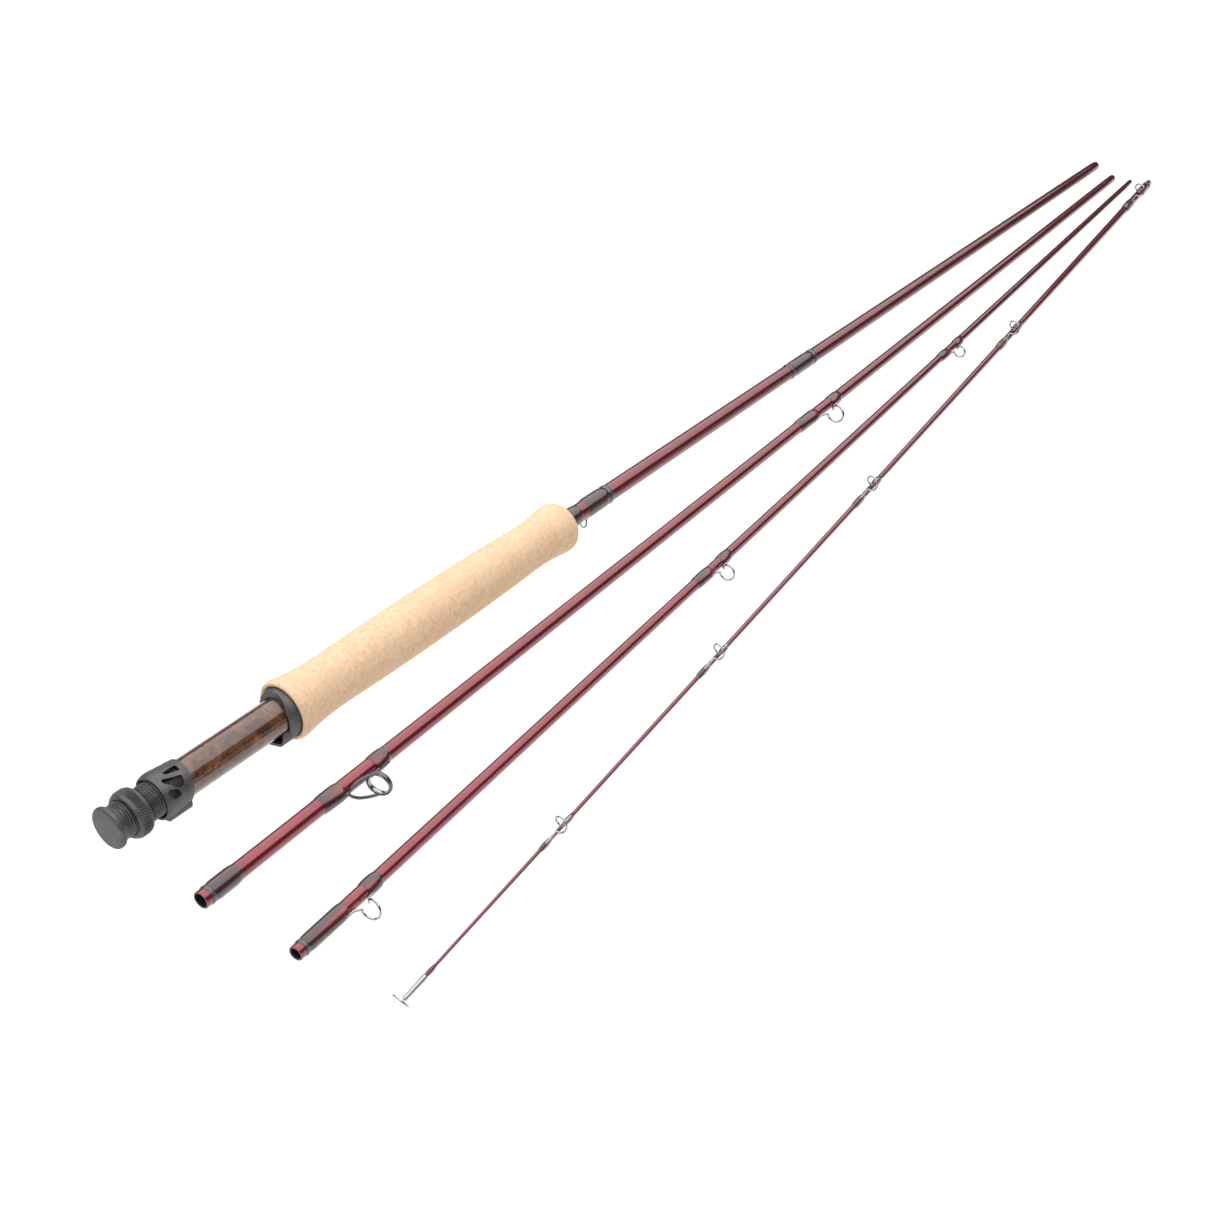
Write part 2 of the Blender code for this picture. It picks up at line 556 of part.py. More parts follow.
def build_tip_section(shop):
    shop.start_section("tip_section", (12.8 * MM, -141.7 * MM), 1.6 * MM, -158.0, -0.078, 8.69)
    blank_start = 5.5 * MM
    thin, thick = 0.65 * MM, 2.03 * MM

    def radius_at(station):
        return thin + (thick - thin) * max(0.0, station - 15 * MM) / (SECTION_LENGTH - 15 * MM)

    socket = 1.5 * MM
    blank = [
        (SECTION_LENGTH - 46 * MM, 0.0),
        (SECTION_LENGTH - 45 * MM, socket),
        (SECTION_LENGTH, socket),
        (SECTION_LENGTH, thick),
        (15 * MM, thin),
        (blank_start, thin),
        (blank_start, 0.0),
    ]
    shop.turned("tip_blank", blank, "rod_blank", closed=False, steps=THIN_STEPS)

    tube = [(4.5 * MM, 0.0), (5.0 * MM, thin + WRAP_GAP), (13.5 * MM, thin + WRAP_GAP),
            (13.5 * MM, 1.2 * MM), (0.6 * MM, 0.95 * MM), (0.0, 0.5 * MM), (0.0, 0.0)]
    shop.turned("tip_top_tube", tube, "guide_chrome", closed=False, steps=THIN_STEPS)

    wire = 0.85 * MM
    radius = 3.85 * MM - wire / 2
    rise = math.atan2(0.83, 0.56)
    along = Vector((-math.cos(rise), 0.0, math.sin(rise)))
    centre = Vector((-1.3 * MM, 0.0, 0.4 * MM)) + along * 3.3 * MM
    ring = shop.turned("tip_top_ring", [(wire / 2 * math.sin(math.pi * i / 4),
                                         radius + wire / 2 * math.cos(math.pi * i / 4))
                                        for i in range(8, 0, -1)], "guide_chrome", steps=STEPS)
    ring.location = (centre.x, 0.0, -centre.z)
    ring.rotation_euler = (0.0, math.pi / 2 - (math.pi / 2 - rise), 0.0)

    wrap(shop, "tip_top_wrap", (13.8 * MM, 20.3 * MM), 0.3 * MM, radius_at, steps=THIN_STEPS)
    wraps = (("snake_1_tip", 92.0, 99.8), ("snake_1_butt", 109.6, 116.2),
             ("snake_2_tip", 216.5, 225.5), ("snake_2_butt", 236.3, 241.4),
             ("snake_3_tip", 363.0, 372.5), ("snake_3_butt", 383.5, 390.0),
             ("snake_4_tip", 526.0, 535.5), ("snake_4_butt", 547.0, 554.0),
             ("snake_5_tip", 698.0, 709.0))
    for name, low, high in wraps:
        wrap(shop, f"tip_{name}_wrap", (low * MM, high * MM), 0.35 * MM, radius_at, steps=THIN_STEPS)
    wrap(shop, "tip_ferrule_wrap", (720.5 * MM, 730.0 * MM), 0.35 * MM, radius_at, steps=THIN_STEPS)
    trim_band(shop, "tip_ferrule_trim", (730.2 * MM, 732.1 * MM), radius_at, steps=THIN_STEPS)
    guides = ((104.7, 99.8, 109.6, 5.0), (231.0, 225.5, 236.3, 5.2), (378.0, 372.5, 383.5, 5.3),
              (541.5, 535.5, 547.0, 5.5), (714.8, 709.0, 720.5, 5.8))
    for number, (centre, rear, front, height) in enumerate(guides, 1):
        snake_guide(shop, f"tip_snake_guide_{number}", centre * MM, rear * MM, front * MM, 7.0 * MM,
                    height * MM, 0.75 * MM, radius_at)


def centre_on_floor(shop):
    """Move the root so that the whole rod stands centred on the origin with its lowest point at 0."""
    bpy.context.view_layer.update()
    graph = bpy.context.evaluated_depsgraph_get()
    low = Vector((math.inf,) * 3)
    high = Vector((-math.inf,) * 3)
    for obj in shop.parts.objects:
        if obj.type != "MESH":
            continue
        evaluated = obj.evaluated_get(graph)
        mesh = evaluated.to_mesh()
        for vert in mesh.vertices:
            point = evaluated.matrix_world @ vert.co
            low = Vector(map(min, low, point))
            high = Vector(map(max, high, point))
        evaluated.to_mesh_clear()
    shop.root.location = (-(low.x + high.x) / 2, -(low.y + high.y) / 2, -low.z)
    bpy.context.view_layer.update()


def main():
    clear_scene()
    shop = Workshop()
    shop.materials = make_materials()
    build_butt_section(shop)
    build_mid_section_1(shop)
    build_mid_section_2(shop)
    build_tip_section(shop)
    centre_on_floor(shop)


main()
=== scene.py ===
"""The looks of a taken-down fly rod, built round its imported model.

Every piece is shaped in its own section's frame, in millimetres: +X runs along the section from its
near end, and -Z is the side of the guides and the reel foot. A bench then carries the finished mesh
into the model's frame, in metres.
"""

from __future__ import annotations

import json
import logging
import math
from collections.abc import Callable, Iterable, Sequence
from dataclasses import dataclass, field
from enum import Enum
from typing import Any

import bmesh
import bpy
from mathutils import Euler, Matrix, Vector

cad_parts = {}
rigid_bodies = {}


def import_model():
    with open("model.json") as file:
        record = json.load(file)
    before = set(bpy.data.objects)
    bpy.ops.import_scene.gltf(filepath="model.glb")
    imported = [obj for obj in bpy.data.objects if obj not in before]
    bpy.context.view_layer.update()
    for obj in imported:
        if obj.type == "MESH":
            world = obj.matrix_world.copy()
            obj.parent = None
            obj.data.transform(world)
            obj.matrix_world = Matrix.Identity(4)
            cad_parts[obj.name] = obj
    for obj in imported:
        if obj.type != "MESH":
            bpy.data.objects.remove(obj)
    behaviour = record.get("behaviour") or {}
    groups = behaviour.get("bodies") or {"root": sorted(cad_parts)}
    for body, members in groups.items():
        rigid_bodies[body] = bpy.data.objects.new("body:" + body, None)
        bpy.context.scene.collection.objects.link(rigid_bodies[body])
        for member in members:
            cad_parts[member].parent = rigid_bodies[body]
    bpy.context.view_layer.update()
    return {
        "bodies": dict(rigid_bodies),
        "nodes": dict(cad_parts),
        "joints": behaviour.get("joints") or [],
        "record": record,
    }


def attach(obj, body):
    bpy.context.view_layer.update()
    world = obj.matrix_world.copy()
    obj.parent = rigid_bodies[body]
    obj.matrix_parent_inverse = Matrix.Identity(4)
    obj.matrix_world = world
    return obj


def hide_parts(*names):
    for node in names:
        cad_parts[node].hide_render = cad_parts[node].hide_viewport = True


LOG = logging.getLogger("fly_rod")
MM = 0.001
SECTION_LENGTH = 735.0
Radius = Callable[[float], float]
Colour = tuple[float, float, float]
Point = tuple[float, float]
Mesh = bpy.types.Mesh
Material = bpy.types.Material


# Node trees


class Signal:
    """An output socket that Python's arithmetic works on."""

    def __init__(self, tree: NodeTree, socket: bpy.types.NodeSocket) -> None:
        """Wrap an output socket of the tree."""
        self.tree = tree
        self.socket = socket

    def maths(self, operation: str, *values: Any) -> Signal:
        """Add a Math node.

        Args:
            operation: The Math node's operation.
            values: Its inputs, in order.

        Returns:
            The node's output.
        """
        return self.tree.node("ShaderNodeMath", {"operation": operation}, dict(enumerate(values)))

    def __add__(self, other: Any) -> Signal:
        """Add."""
        return self.maths("ADD", self, other)

    def __radd__(self, other: Any) -> Signal:
        """Add, reflected."""
        return self.maths("ADD", other, self)

    def __sub__(self, other: Any) -> Signal:
        """Subtract."""
        return self.maths("SUBTRACT", self, other)

    def __rsub__(self, other: Any) -> Signal:
        """Subtract, reflected."""
        return self.maths("SUBTRACT", other, self)

    def __mul__(self, other: Any) -> Signal:
        """Multiply."""
        return self.maths("MULTIPLY", self, other)

    def __rmul__(self, other: Any) -> Signal:
        """Multiply, reflected."""
        return self.maths("MULTIPLY", other, self)

    def __truediv__(self, other: Any) -> Signal:
        """Divide."""
        return self.maths("DIVIDE", self, other)

    def __rtruediv__(self, other: Any) -> Signal:
        """Divide, reflected."""
        return self.maths("DIVIDE", other, self)

    def __pow__(self, other: Any) -> Signal:
        """Raise to a power."""
        return self.maths("POWER", self, other)

    def __rpow__(self, other: Any) -> Signal:
        """Raise to a power, reflected."""
        return self.maths("POWER", other, self)

    def fold(self, scale: float) -> Signal:
        """Fold the value into a zigzag between 0 and the scale."""
        return self.maths("PINGPONG", self, scale)

    def spread(self, low: float, high: float) -> Signal:
        """Map low to 0 and high to 1, clamped and eased."""
        return self.tree.node(
            "ShaderNodeMapRange",
            {"interpolation_type": "SMOOTHSTEP"},
            {"Value": self, "From Min": low, "From Max": high},
        )


class NodeTree:
    """Builds a node tree one node at a time."""

    def __init__(self, tree: bpy.types.NodeTree) -> None:
        """Work on an existing tree."""
        self.tree = tree

    def feed(self, socket: bpy.types.NodeSocket, value: Any) -> None:
        """Link a signal to a socket, or set the socket's own value."""
        if isinstance(value, Signal):
            self.tree.links.new(value.socket, socket)
        elif isinstance(value, tuple) and len(value) == 3 and socket.type == "RGBA":
            socket.default_value = (*value, 1.0)
        else:
            socket.default_value = value

    def node(
        self,
        kind: str,
        settings: dict[str, Any] | None = None,
        inputs: dict[Any, Any] | None = None,
        output: Any = 0,
    ) -> Signal:
        """Add a node.

        Args:
            kind: The node's type.
            settings: Its properties, and a colour ramp's "stops", set before anything else.
            inputs: The values or signals of its sockets, by name or number.
            output: The name or number of the output that is wanted.

        Returns:
            That output.
        """
        node = self.tree.nodes.new(kind)
        for name, value in (settings or {}).items():
            if name == "stops":
                self.set_stops(node.color_ramp, value)
            else:
                setattr(node, name, value)
        for name, value in (inputs or {}).items():
            self.feed(node.inputs[name], value)
        return Signal(self, node.outputs[output])

    def set_stops(self, ramp: bpy.types.ColorRamp, stops: Sequence[tuple[float, Colour]]) -> None:
        """Give a colour ramp its stops of (position, colour)."""
        while len(ramp.elements) < len(stops):
            ramp.elements.new(1.0)
        for element, (position, colour) in zip(ramp.elements, stops):
            element.position = position
            element.color = (*colour, 1.0)


class ShaderTree(NodeTree):
    """The node tree of a material whose surface is one Principled shader."""

    def __init__(self, name: str) -> None:
        """Make the material."""
        self.material = bpy.data.materials.new(name)
        self.material.use_nodes = True
        super().__init__(self.material.node_tree)
        self.surface = self.tree.nodes["Principled BSDF"]

    def dress(self, **values: Any) -> Material:
        """Set the shader's sockets, named in lower case with underscores.

        Args:
            values: A value or a signal for each socket.

        Returns:
            The finished material.
        """
        for name, value in values.items():
            label = name.replace("_", " ").title().replace("Ior", "IOR")
            self.feed(self.surface.inputs[label], value)
        return self.material

    def along(self) -> tuple[Signal, Signal]:
        """Give the station along the section and the distance round it, in millimetres."""
        place = self.node("ShaderNodeTexCoord", output="UV")
        split = self.node("ShaderNodeSeparateXYZ", inputs={0: place})
        return split, Signal(self, split.socket.node.outputs[1])

    def place(self, scale: Colour = (1000.0, 1000.0, 1000.0)) -> Signal:
        """Give the Object coordinates, in millimetres unless another scale is asked for."""
        where = self.node("ShaderNodeTexCoord", output="Object")
        return self.node("ShaderNodeMapping", inputs={0: where, "Scale": scale})

    def noise(self, where: Signal, scale: float, detail: float = 2.0, **more: float) -> Signal:
        """Add a noise texture and give its value."""
        inputs = {"Vector": where, "Scale": scale, "Detail": detail}
        inputs.update({name.title(): value for name, value in more.items()})
        return self.node("ShaderNodeTexNoise", inputs=inputs)

    def ramp(self, factor: Signal, *stops: tuple[float, Colour]) -> Signal:
        """Add a colour ramp."""
        return self.node("ShaderNodeValToRGB", {"stops": stops}, {0: factor})

    def mix(self, factor: Any, low: Any, high: Any) -> Signal:
        """Mix two colours."""
        node = self.tree.nodes.new("ShaderNodeMix")
        node.data_type = "RGBA"
        for index, value in ((0, factor), (6, low), (7, high)):
            self.feed(node.inputs[index], value)
        return Signal(self, node.outputs[2])

    def bump(self, height: Signal, strength: float, distance: float) -> Signal:
        """Add a Bump node; the distance is in millimetres."""
        inputs = {"Height": height, "Strength": strength, "Distance": distance * MM}
        return self.node("ShaderNodeBump", inputs=inputs)

    def mark(self, name: str) -> Signal:
        """Read one of the mesh's own marks, from 0 to 1."""
        return self.node("ShaderNodeAttribute", {"attribute_name": name}, output="Fac")


# Finishes


@dataclass(frozen=True)
class Finish:
    """A surface finish. Its slot is the record's name for it."""

    slot: str

    def paint(self) -> Material:
        """Make the material."""
        raise NotImplementedError


@dataclass(frozen=True)
class RodVarnish(Finish):
    """Clear varnish over a deep red tapered tube, browner towards its far end."""

    near: Colour = (0.235, 0.022, 0.036)
    far: Colour = (0.11, 0.028, 0.030)
    # Near-black of the socket's inside: partly bare graphite, partly painted shade of the hollow
    # bore.
    bore_graphite_and_shade: Colour = (0.012, 0.011, 0.012)

    def paint(self) -> Material:
        """Make the material."""
        tree = ShaderTree(f"{self.slot}_finish")
        station, round_it = tree.along()
        spiral = ((station + round_it * 0.35) / 1.6).fold(0.5) * 2.0
        cloud = tree.noise(tree.place((70.0, 70.0, 70.0)), 1.0, 3.0)
        # Browner towards the far end: a straight blend from the near colour to the far colour along
        # the section.
        body = tree.mix(tree.mark("age"), self.near, self.far)
        body = tree.mix(cloud.spread(0.35, 0.75) * 0.22, body, (0.07, 0.010, 0.014))
        body = tree.mix(spiral * 0.06, body, (0.05, 0.006, 0.010))
        # Inside the socket: near-black, partly bare graphite and partly painted shade of the
        # hollow.
        body = tree.mix(tree.mark("bore"), body, self.bore_graphite_and_shade)
        return tree.dress(
            base_color=body,
            metallic=0.62 - tree.mark("bore") * 0.6,
            roughness=0.24 + cloud * 0.06 + tree.mark("bore") * 0.3,
            coat_weight=1.0 - tree.mark("bore"),
            coat_roughness=0.03,
            normal=tree.bump(cloud, 0.02, 0.02),
        )


@dataclass(frozen=True)
class ThreadEpoxy(Finish):
    """Fine thread wound tight under clear epoxy, with red showing beside a guide's foot."""

    thread: Colour = (0.030, 0.006, 0.009)
    light: Colour = (0.34, 0.010, 0.018)
    pitch: float = 0.19

    def paint(self) -> Material:
        """Make the material."""
        tree = ShaderTree(f"{self.slot}_finish")
        station, round_it = tree.along()
        turn = ((station + round_it * 0.006) / self.pitch).fold(0.5) * 2.0
        uneven = tree.noise(tree.place(), 0.7, 2.0)
        body = tree.mix(turn * 0.35, self.thread, (0.060, 0.013, 0.017))
        body = tree.mix(uneven.spread(0.45, 0.8) * 0.4, body, (0.070, 0.010, 0.013))
        body = tree.mix(tree.mark("glow"), body, self.light)
        return tree.dress(
            base_color=body,
            roughness=0.30 + uneven * 0.10,
            coat_weight=1.0,
            coat_roughness=0.03,
            normal=tree.bump(turn * 0.5 + uneven * 0.3, 0.10, 0.04),
        )


@dataclass(frozen=True)
class TrimThread(Finish):
    """A band of pale metallic thread under epoxy."""

    thread: Colour = (0.060, 0.068, 0.080)

    def paint(self) -> Material:
        """Make the material."""
        tree = ShaderTree(f"{self.slot}_finish")
        station, round_it = tree.along()
        turn = ((station + round_it * 0.006) / 0.24).fold(0.5) * 2.0
        glint = tree.noise(tree.place(), 2.2, 1.0)
        body = tree.mix(turn * 0.5, self.thread, (0.024, 0.027, 0.033))
        return tree.dress(
            base_color=tree.mix(glint.spread(0.5, 0.75) * 0.5, body, (0.17, 0.185, 0.205)),
            metallic=0.55,
            roughness=0.34 + glint * 0.1,
            coat_weight=1.0,
            coat_roughness=0.04,
            normal=tree.bump(turn, 0.12, 0.04),
        )


@dataclass(frozen=True)
class Cork(Finish):
    """Sanded cork rings glued end to end, with small dark pits and the glue seams between rings."""

    ring_length: float = 12.7
    light: Colour = (0.84, 0.61, 0.41)
    dark: Colour = (0.70, 0.465, 0.29)

    def paint(self) -> Material:
        """Make the material."""
        tree = ShaderTree(f"{self.slot}_finish")
        station, _ = tree.along()
        place = tree.place()
        ring = tree.node("ShaderNodeMath", {"operation": "FLOOR"}, {0: station / self.ring_length})
        shade = tree.node("ShaderNodeTexWhiteNoise", {"noise_dimensions": "1D"}, {"W": ring})
        seam = (station / self.ring_length).fold(0.5).spread(0.018, 0.0)
        grain = tree.noise(place, 0.55, 5.0, roughness=0.62)
        cloud = tree.noise(place, 0.10, 2.0)
        cell = tree.node(
            "ShaderNodeTexVoronoi", {}, {"Vector": place, "Scale": 0.33, "Randomness": 1.0}
        )
        lenticel = tree.noise(place, 1.1, 3.0, distortion=0.6).spread(0.66, 0.72)
        pit = cell.spread(0.17, 0.07) * cloud.spread(0.50, 0.62)
        wood = tree.mix(grain.spread(0.3, 0.75), self.light, self.dark)
        wood = tree.mix(cloud.spread(0.35, 0.7) * 0.35, wood, (0.76, 0.53, 0.35))
        wood = tree.mix(shade * 0.16, wood, (0.66, 0.43, 0.26))
        wood = tree.mix(seam * 0.20, wood, (0.50, 0.32, 0.19))
        wood = tree.mix(lenticel * 0.28, wood, (0.40, 0.25, 0.14))
        wood = tree.mix(pit * 0.60, wood, (0.27, 0.18, 0.105))
        height = grain * 0.25 - pit * 1.0 - seam * 0.2 - lenticel * 0.5
        return tree.dress(
            base_color=wood,
            roughness=0.78 + grain * 0.12,
            specular_ior_level=0.25,
            normal=tree.bump(height, 0.5, 0.35),
        )


@dataclass(frozen=True)
class BurlWood(Finish):
    """Dark figured burl under thick clear varnish."""

    def paint(self) -> Material:
        """Make the material."""
        tree = ShaderTree(f"{self.slot}_finish")
        place = tree.place()
        figure = tree.noise(place, 0.085, 4.0, distortion=2.2, roughness=0.6)
        curl = tree.noise(place, 0.30, 5.0, distortion=1.2, roughness=0.65)
        eye = tree.node("ShaderNodeTexVoronoi", {}, {"Vector": place, "Scale": 0.18})
        body = tree.ramp(
            figure * 0.65 + curl * 0.35,
            (0.34, (0.022, 0.007, 0.003)),
            (0.46, (0.062, 0.019, 0.007)),
            (0.54, (0.115, 0.040, 0.014)),
            (0.64, (0.200, 0.078, 0.028)),
        )
        body = tree.mix(eye.spread(0.20, 0.05) * 0.7, body, (0.030, 0.008, 0.003))
        return tree.dress(
            base_color=body,
            roughness=0.30 + curl * 0.10,
            coat_weight=1.0,
            coat_roughness=0.025,
            normal=tree.bump(curl, 0.05, 0.05),
        )


@dataclass(frozen=True)
class Metal(Finish):
    """A metal with a fine grain: its tint, its gloss, and how much the grain shows."""

    tint: Colour
    metallic: float = 1.0
    roughness: float = 0.2
    grain: float = 0.05
    relief: float = 0.04

    def paint(self) -> Material:
        """Make the material."""
        tree = ShaderTree(f"{self.slot}_finish")
        place = tree.place()
        blast = tree.noise(place, 5.0, 2.0)
        cloud = tree.noise(place, 0.25, 3.0)
        darker = tuple(part * 0.72 for part in self.tint)
        tint = tree.mix((blast * 0.6 + cloud * 0.4).spread(0.3, 0.7), self.tint, darker)
        return tree.dress(
            base_color=tint,
            metallic=self.metallic,
            roughness=self.roughness + (cloud - 0.5) * self.grain + blast * self.grain,
            normal=tree.bump(blast, self.relief, 0.04),
        )


@dataclass(frozen=True)
class Matte(Finish):
    """A plain dull material, such as rubber or fibre, with a fine mottle."""

    tint: Colour

    def paint(self) -> Material:
        """Make the material."""
        tree = ShaderTree(f"{self.slot}_finish")
        mottle = tree.noise(tree.place(), 3.0, 4.0)
        darker = tuple(part * 0.6 for part in self.tint)
        return tree.dress(
            base_color=tree.mix(mottle, self.tint, darker),
            roughness=0.7 + mottle * 0.2,
            normal=tree.bump(mottle, 0.2, 0.05),
        )


@dataclass(frozen=True)
class StudioFloor(Finish):
    """The pale sweep that everything lies on."""

    def paint(self) -> Material:
        """Make the material."""
        tree = ShaderTree(self.slot)
        drift = tree.noise(tree.place((2.0, 2.0, 2.0)), 1.0, 2.0)
        return tree.dress(
            base_color=tree.mix(drift, (0.18, 0.18, 0.18), (0.20, 0.20, 0.20)),
            roughness=0.9,
            specular_ior_level=0.0,
            emission_color=(1.0, 1.0, 1.0),
            emission_strength=1.0,
        )


VARNISH = RodVarnish("rod_blank")
WRAPPING = ThreadEpoxy("thread_wrap")
TRIM = TrimThread("trim_thread")
CORK = Cork("cork")
BURL = BurlWood("burl_wood")
ANODISED = Metal("anodised", (0.125, 0.122, 0.121), 0.75, 0.44, 0.10, 0.10)
CHROME = Metal("guide_chrome", (0.46, 0.46, 0.47), 1.0, 0.13, 0.05, 0.02)
GUNMETAL = Metal("gunmetal", (0.155, 0.155, 0.165), 1.0, 0.28, 0.08, 0.05)
RUBBER = Matte("seal_rubber", (0.02, 0.02, 0.02))
FIBRE = Matte("fibre", (0.42, 0.33, 0.22))


class PaintShop:
    """Makes each finish's material once."""

    def __init__(self) -> None:
        """Start with no material made."""
        self.made: dict[str, Material] = {}

    def material(self, finish: Finish) -> Material:
        """Give the finish's material."""
        if finish.slot not in self.made:
            self.made[finish.slot] = finish.paint()
        return self.made[finish.slot]


# Shaping


def ring_at(station: float, radius: Callable[[float], float] | float, sides: int) -> list[Vector]:
    """Give the points of one ring round the section's axis.

    Args:
        station: The ring's place along the section.
        radius: Its radius, or a function of the angle from the guides' side.
        sides: How many points it has.

    Returns:
        The points, from the guides' side round towards +Y.
    """
    points = []
    for i in range(sides):
        angle = 2 * math.pi * i / sides
        reach = radius(angle) if callable(radius) else radius
        points.append(Vector((station, reach * math.sin(angle), -reach * math.cos(angle))))
    return points


def fillet(
    corners: Sequence[tuple[float, ...]], closed: bool = False, steps: int = 4
) -> list[Point]:
    """Round the corners of an outline.

    Args:
        corners: (station, radius) corners, each with an optional third number, its rounding.
        closed: Whether the last corner runs on to the first.
        steps: How many segments a rounded corner has.

    Returns:
        The outline's (station, radius) points.
    """
    outline = []
    count = len(corners)
    for i, corner in enumerate(corners):
        here = Vector(corner[:2])
        size = corner[2] if len(corner) > 2 else 0.0
        if not size or (not closed and i in (0, count - 1)):
            outline.append((here.x, here.y))
            continue
        back = Vector(corners[i - 1][:2]) - here
        ahead = Vector(corners[(i + 1) % count][:2]) - here
        first = here + back.normalized() * min(size, back.length / 2)
        last = here + ahead.normalized() * min(size, ahead.length / 2)
        for step in range(steps + 1):
            t = step / steps
            point = first * (1 - t) ** 2 + here * (2 * t * (1 - t)) + last * t**2
            outline.append((point.x, point.y))
    return outline


def smooth_path(points: Sequence[Sequence[float]], steps: int = 8) -> list[Vector]:
    """Run a smooth curve through the points, with so many steps from each to the next."""
    knots = [Vector(point) for point in points]
    path = []
    for i in range(len(knots) - 1):
        before = knots[max(i - 1, 0)]
        start, end = knots[i], knots[i + 1]
        after = knots[min(i + 2, len(knots) - 1)]
        for step in range(steps):
            t = step / steps
            path.append(
                (
                    2 * start
                    + (end - before) * t
                    + (2 * before - 5 * start + 4 * end - after) * t**2
                    + (3 * start - before - 3 * end + after) * t**3
                )
                / 2
            )
    return [*path, knots[-1]]


def loft(
    rings: Sequence[list[Vector]], closed: bool = False, marks: dict[str, list[float]] | None = None
) -> Mesh:
    """Skin a row of rings.

    Args:
        rings: Rings with the same number of points, or single points where the skin closes.
        closed: Whether the last ring joins the first.
        marks: Values from 0 to 1 for each point, under a name that a finish reads.

    Returns:
        A closed mesh whose UV map is the station and the distance round, in millimetres.
    """
    points: list[Vector] = []
    starts = []
    for ring in rings:
        starts.append(len(points))
        points.extend(ring)
    sides = max(len(ring) for ring in rings)
    faces = []
    uvs = []
    pairs = len(rings) if closed else len(rings) - 1
    for i in range(pairs):
        k = (i + 1) % len(rings)
        low, high = rings[i], rings[k]
        reach = 2 * math.pi * max(math.hypot(low[0].y, low[0].z), math.hypot(high[0].y, high[0].z))
        for j in range(sides):
            n = (j + 1) % sides
            corners = [(i, j, j), (i, n, j + 1), (k, n, j + 1), (k, j, j)]
            if len(low) == 1:
                corners = [(i, 0, j), *corners[2:]]
            elif len(high) == 1:
                corners = [*corners[:2], (k, 0, j)]
            faces.append([starts[ring] + point for ring, point, _ in corners])
            uvs.extend(
                (rings[ring][point].x, reach * place / sides) for ring, point, place in corners
            )
    mesh = bpy.data.meshes.new("skin")
    mesh.from_pydata(points, [], faces)
    layer = mesh.uv_layers.new(name="UVMap")
    layer.data.foreach_set("uv", [part for uv in uvs for part in uv])
    for name, values in (marks or {}).items():
        mesh.attributes.new(name, "FLOAT", "POINT").data.foreach_set("value", values)
    return tidy(mesh)


def turn(
    outline: Sequence[Point],
    closed: bool = True,
    sides: int = 96,
    marks: Callable[[float, float], dict[str, float]] | None = None,
) -> Mesh:
    """Turn an outline of (station, radius) points about the section's axis.

    Args:
        outline: The points, whose radius is 0 where an open outline meets the axis.
        closed: Whether the outline is a closed one, which makes a ring.
        sides: How many sides the turned shape has.
        marks: Gives the marks of a ring from its station and radius.

    Returns:
        The mesh.
    """
    rings = []
    values: dict[str, list[float]] = {}
    for station, radius in outline:
        ring = [Vector((station, 0.0, 0.0))] if radius <= 0.0 else ring_at(station, radius, sides)
        rings.append(ring)
        for name, value in (marks(station, radius) if marks else {}).items():
            values.setdefault(name, []).extend([value] * len(ring))
    return loft(rings, closed, values)


def tidy(mesh: Mesh, distance: float = 1e-4) -> Mesh:
    """Merge a closed mesh's doubles and point its faces outwards."""
    bm = bmesh.new()
    bm.from_mesh(mesh)
    bmesh.ops.remove_doubles(bm, verts=bm.verts, dist=distance)
    bmesh.ops.recalc_face_normals(bm, faces=bm.faces)
    bm.to_mesh(mesh)
    bm.free()
    return mesh


def join(meshes: Iterable[Mesh]) -> Mesh:
    """Put several closed meshes into one."""
    bm = bmesh.new()
    for mesh in meshes:
        bm.from_mesh(mesh)
    joined = bpy.data.meshes.new("joined")
    bm.to_mesh(joined)
    bm.free()
    return joined


def evaluated(mesh: Mesh, add: Callable[[bpy.types.Object], list[bpy.types.Object]]) -> Mesh:
    """Put a mesh through modifiers.

    Args:
        mesh: The mesh to start from.
        add: Adds the modifiers to an object, and gives any helper objects that they use.

    Returns:
        The resulting mesh, with no modifier left.
    """
    obj = bpy.data.objects.new("workpiece", mesh)
    bpy.context.scene.collection.objects.link(obj)
    helpers = add(obj)
    bpy.context.view_layer.update()
    graph = bpy.context.evaluated_depsgraph_get()
    result = bpy.data.meshes.new_from_object(obj.evaluated_get(graph), depsgraph=graph)
    for item in (obj, *helpers):
        bpy.data.objects.remove(item)
    return result


def carve(mesh: Mesh, steps: Iterable[tuple[str, Mesh]], edge: float = 0.0) -> Mesh:
    """Join shapes to a mesh and cut shapes from it.

    Args:
        mesh: The mesh to start from.
        steps: ("UNION" or "DIFFERENCE", mesh) pairs, in order.
        edge: How wide to bevel the sharp edges at the end.

    Returns:
        The carved mesh.
    """

    def add(obj: bpy.types.Object) -> list[bpy.types.Object]:
        helpers = []
        for operation, other in steps:
            helper = bpy.data.objects.new("tool", other)
            bpy.context.scene.collection.objects.link(helper)
            modifier = obj.modifiers.new("carve", "BOOLEAN")
            modifier.operation = operation
            modifier.solver = "EXACT"
            modifier.object = helper
            helpers.append(helper)
        if edge:
            bevel = obj.modifiers.new("edge", "BEVEL")
            bevel.width = edge
            bevel.segments = 2
            bevel.limit_method = "ANGLE"
            bevel.angle_limit = math.radians(40)
            bevel.use_clamp_overlap = True
            bevel.miter_outer = "MITER_ARC"
        return helpers

    return evaluated(mesh, add)


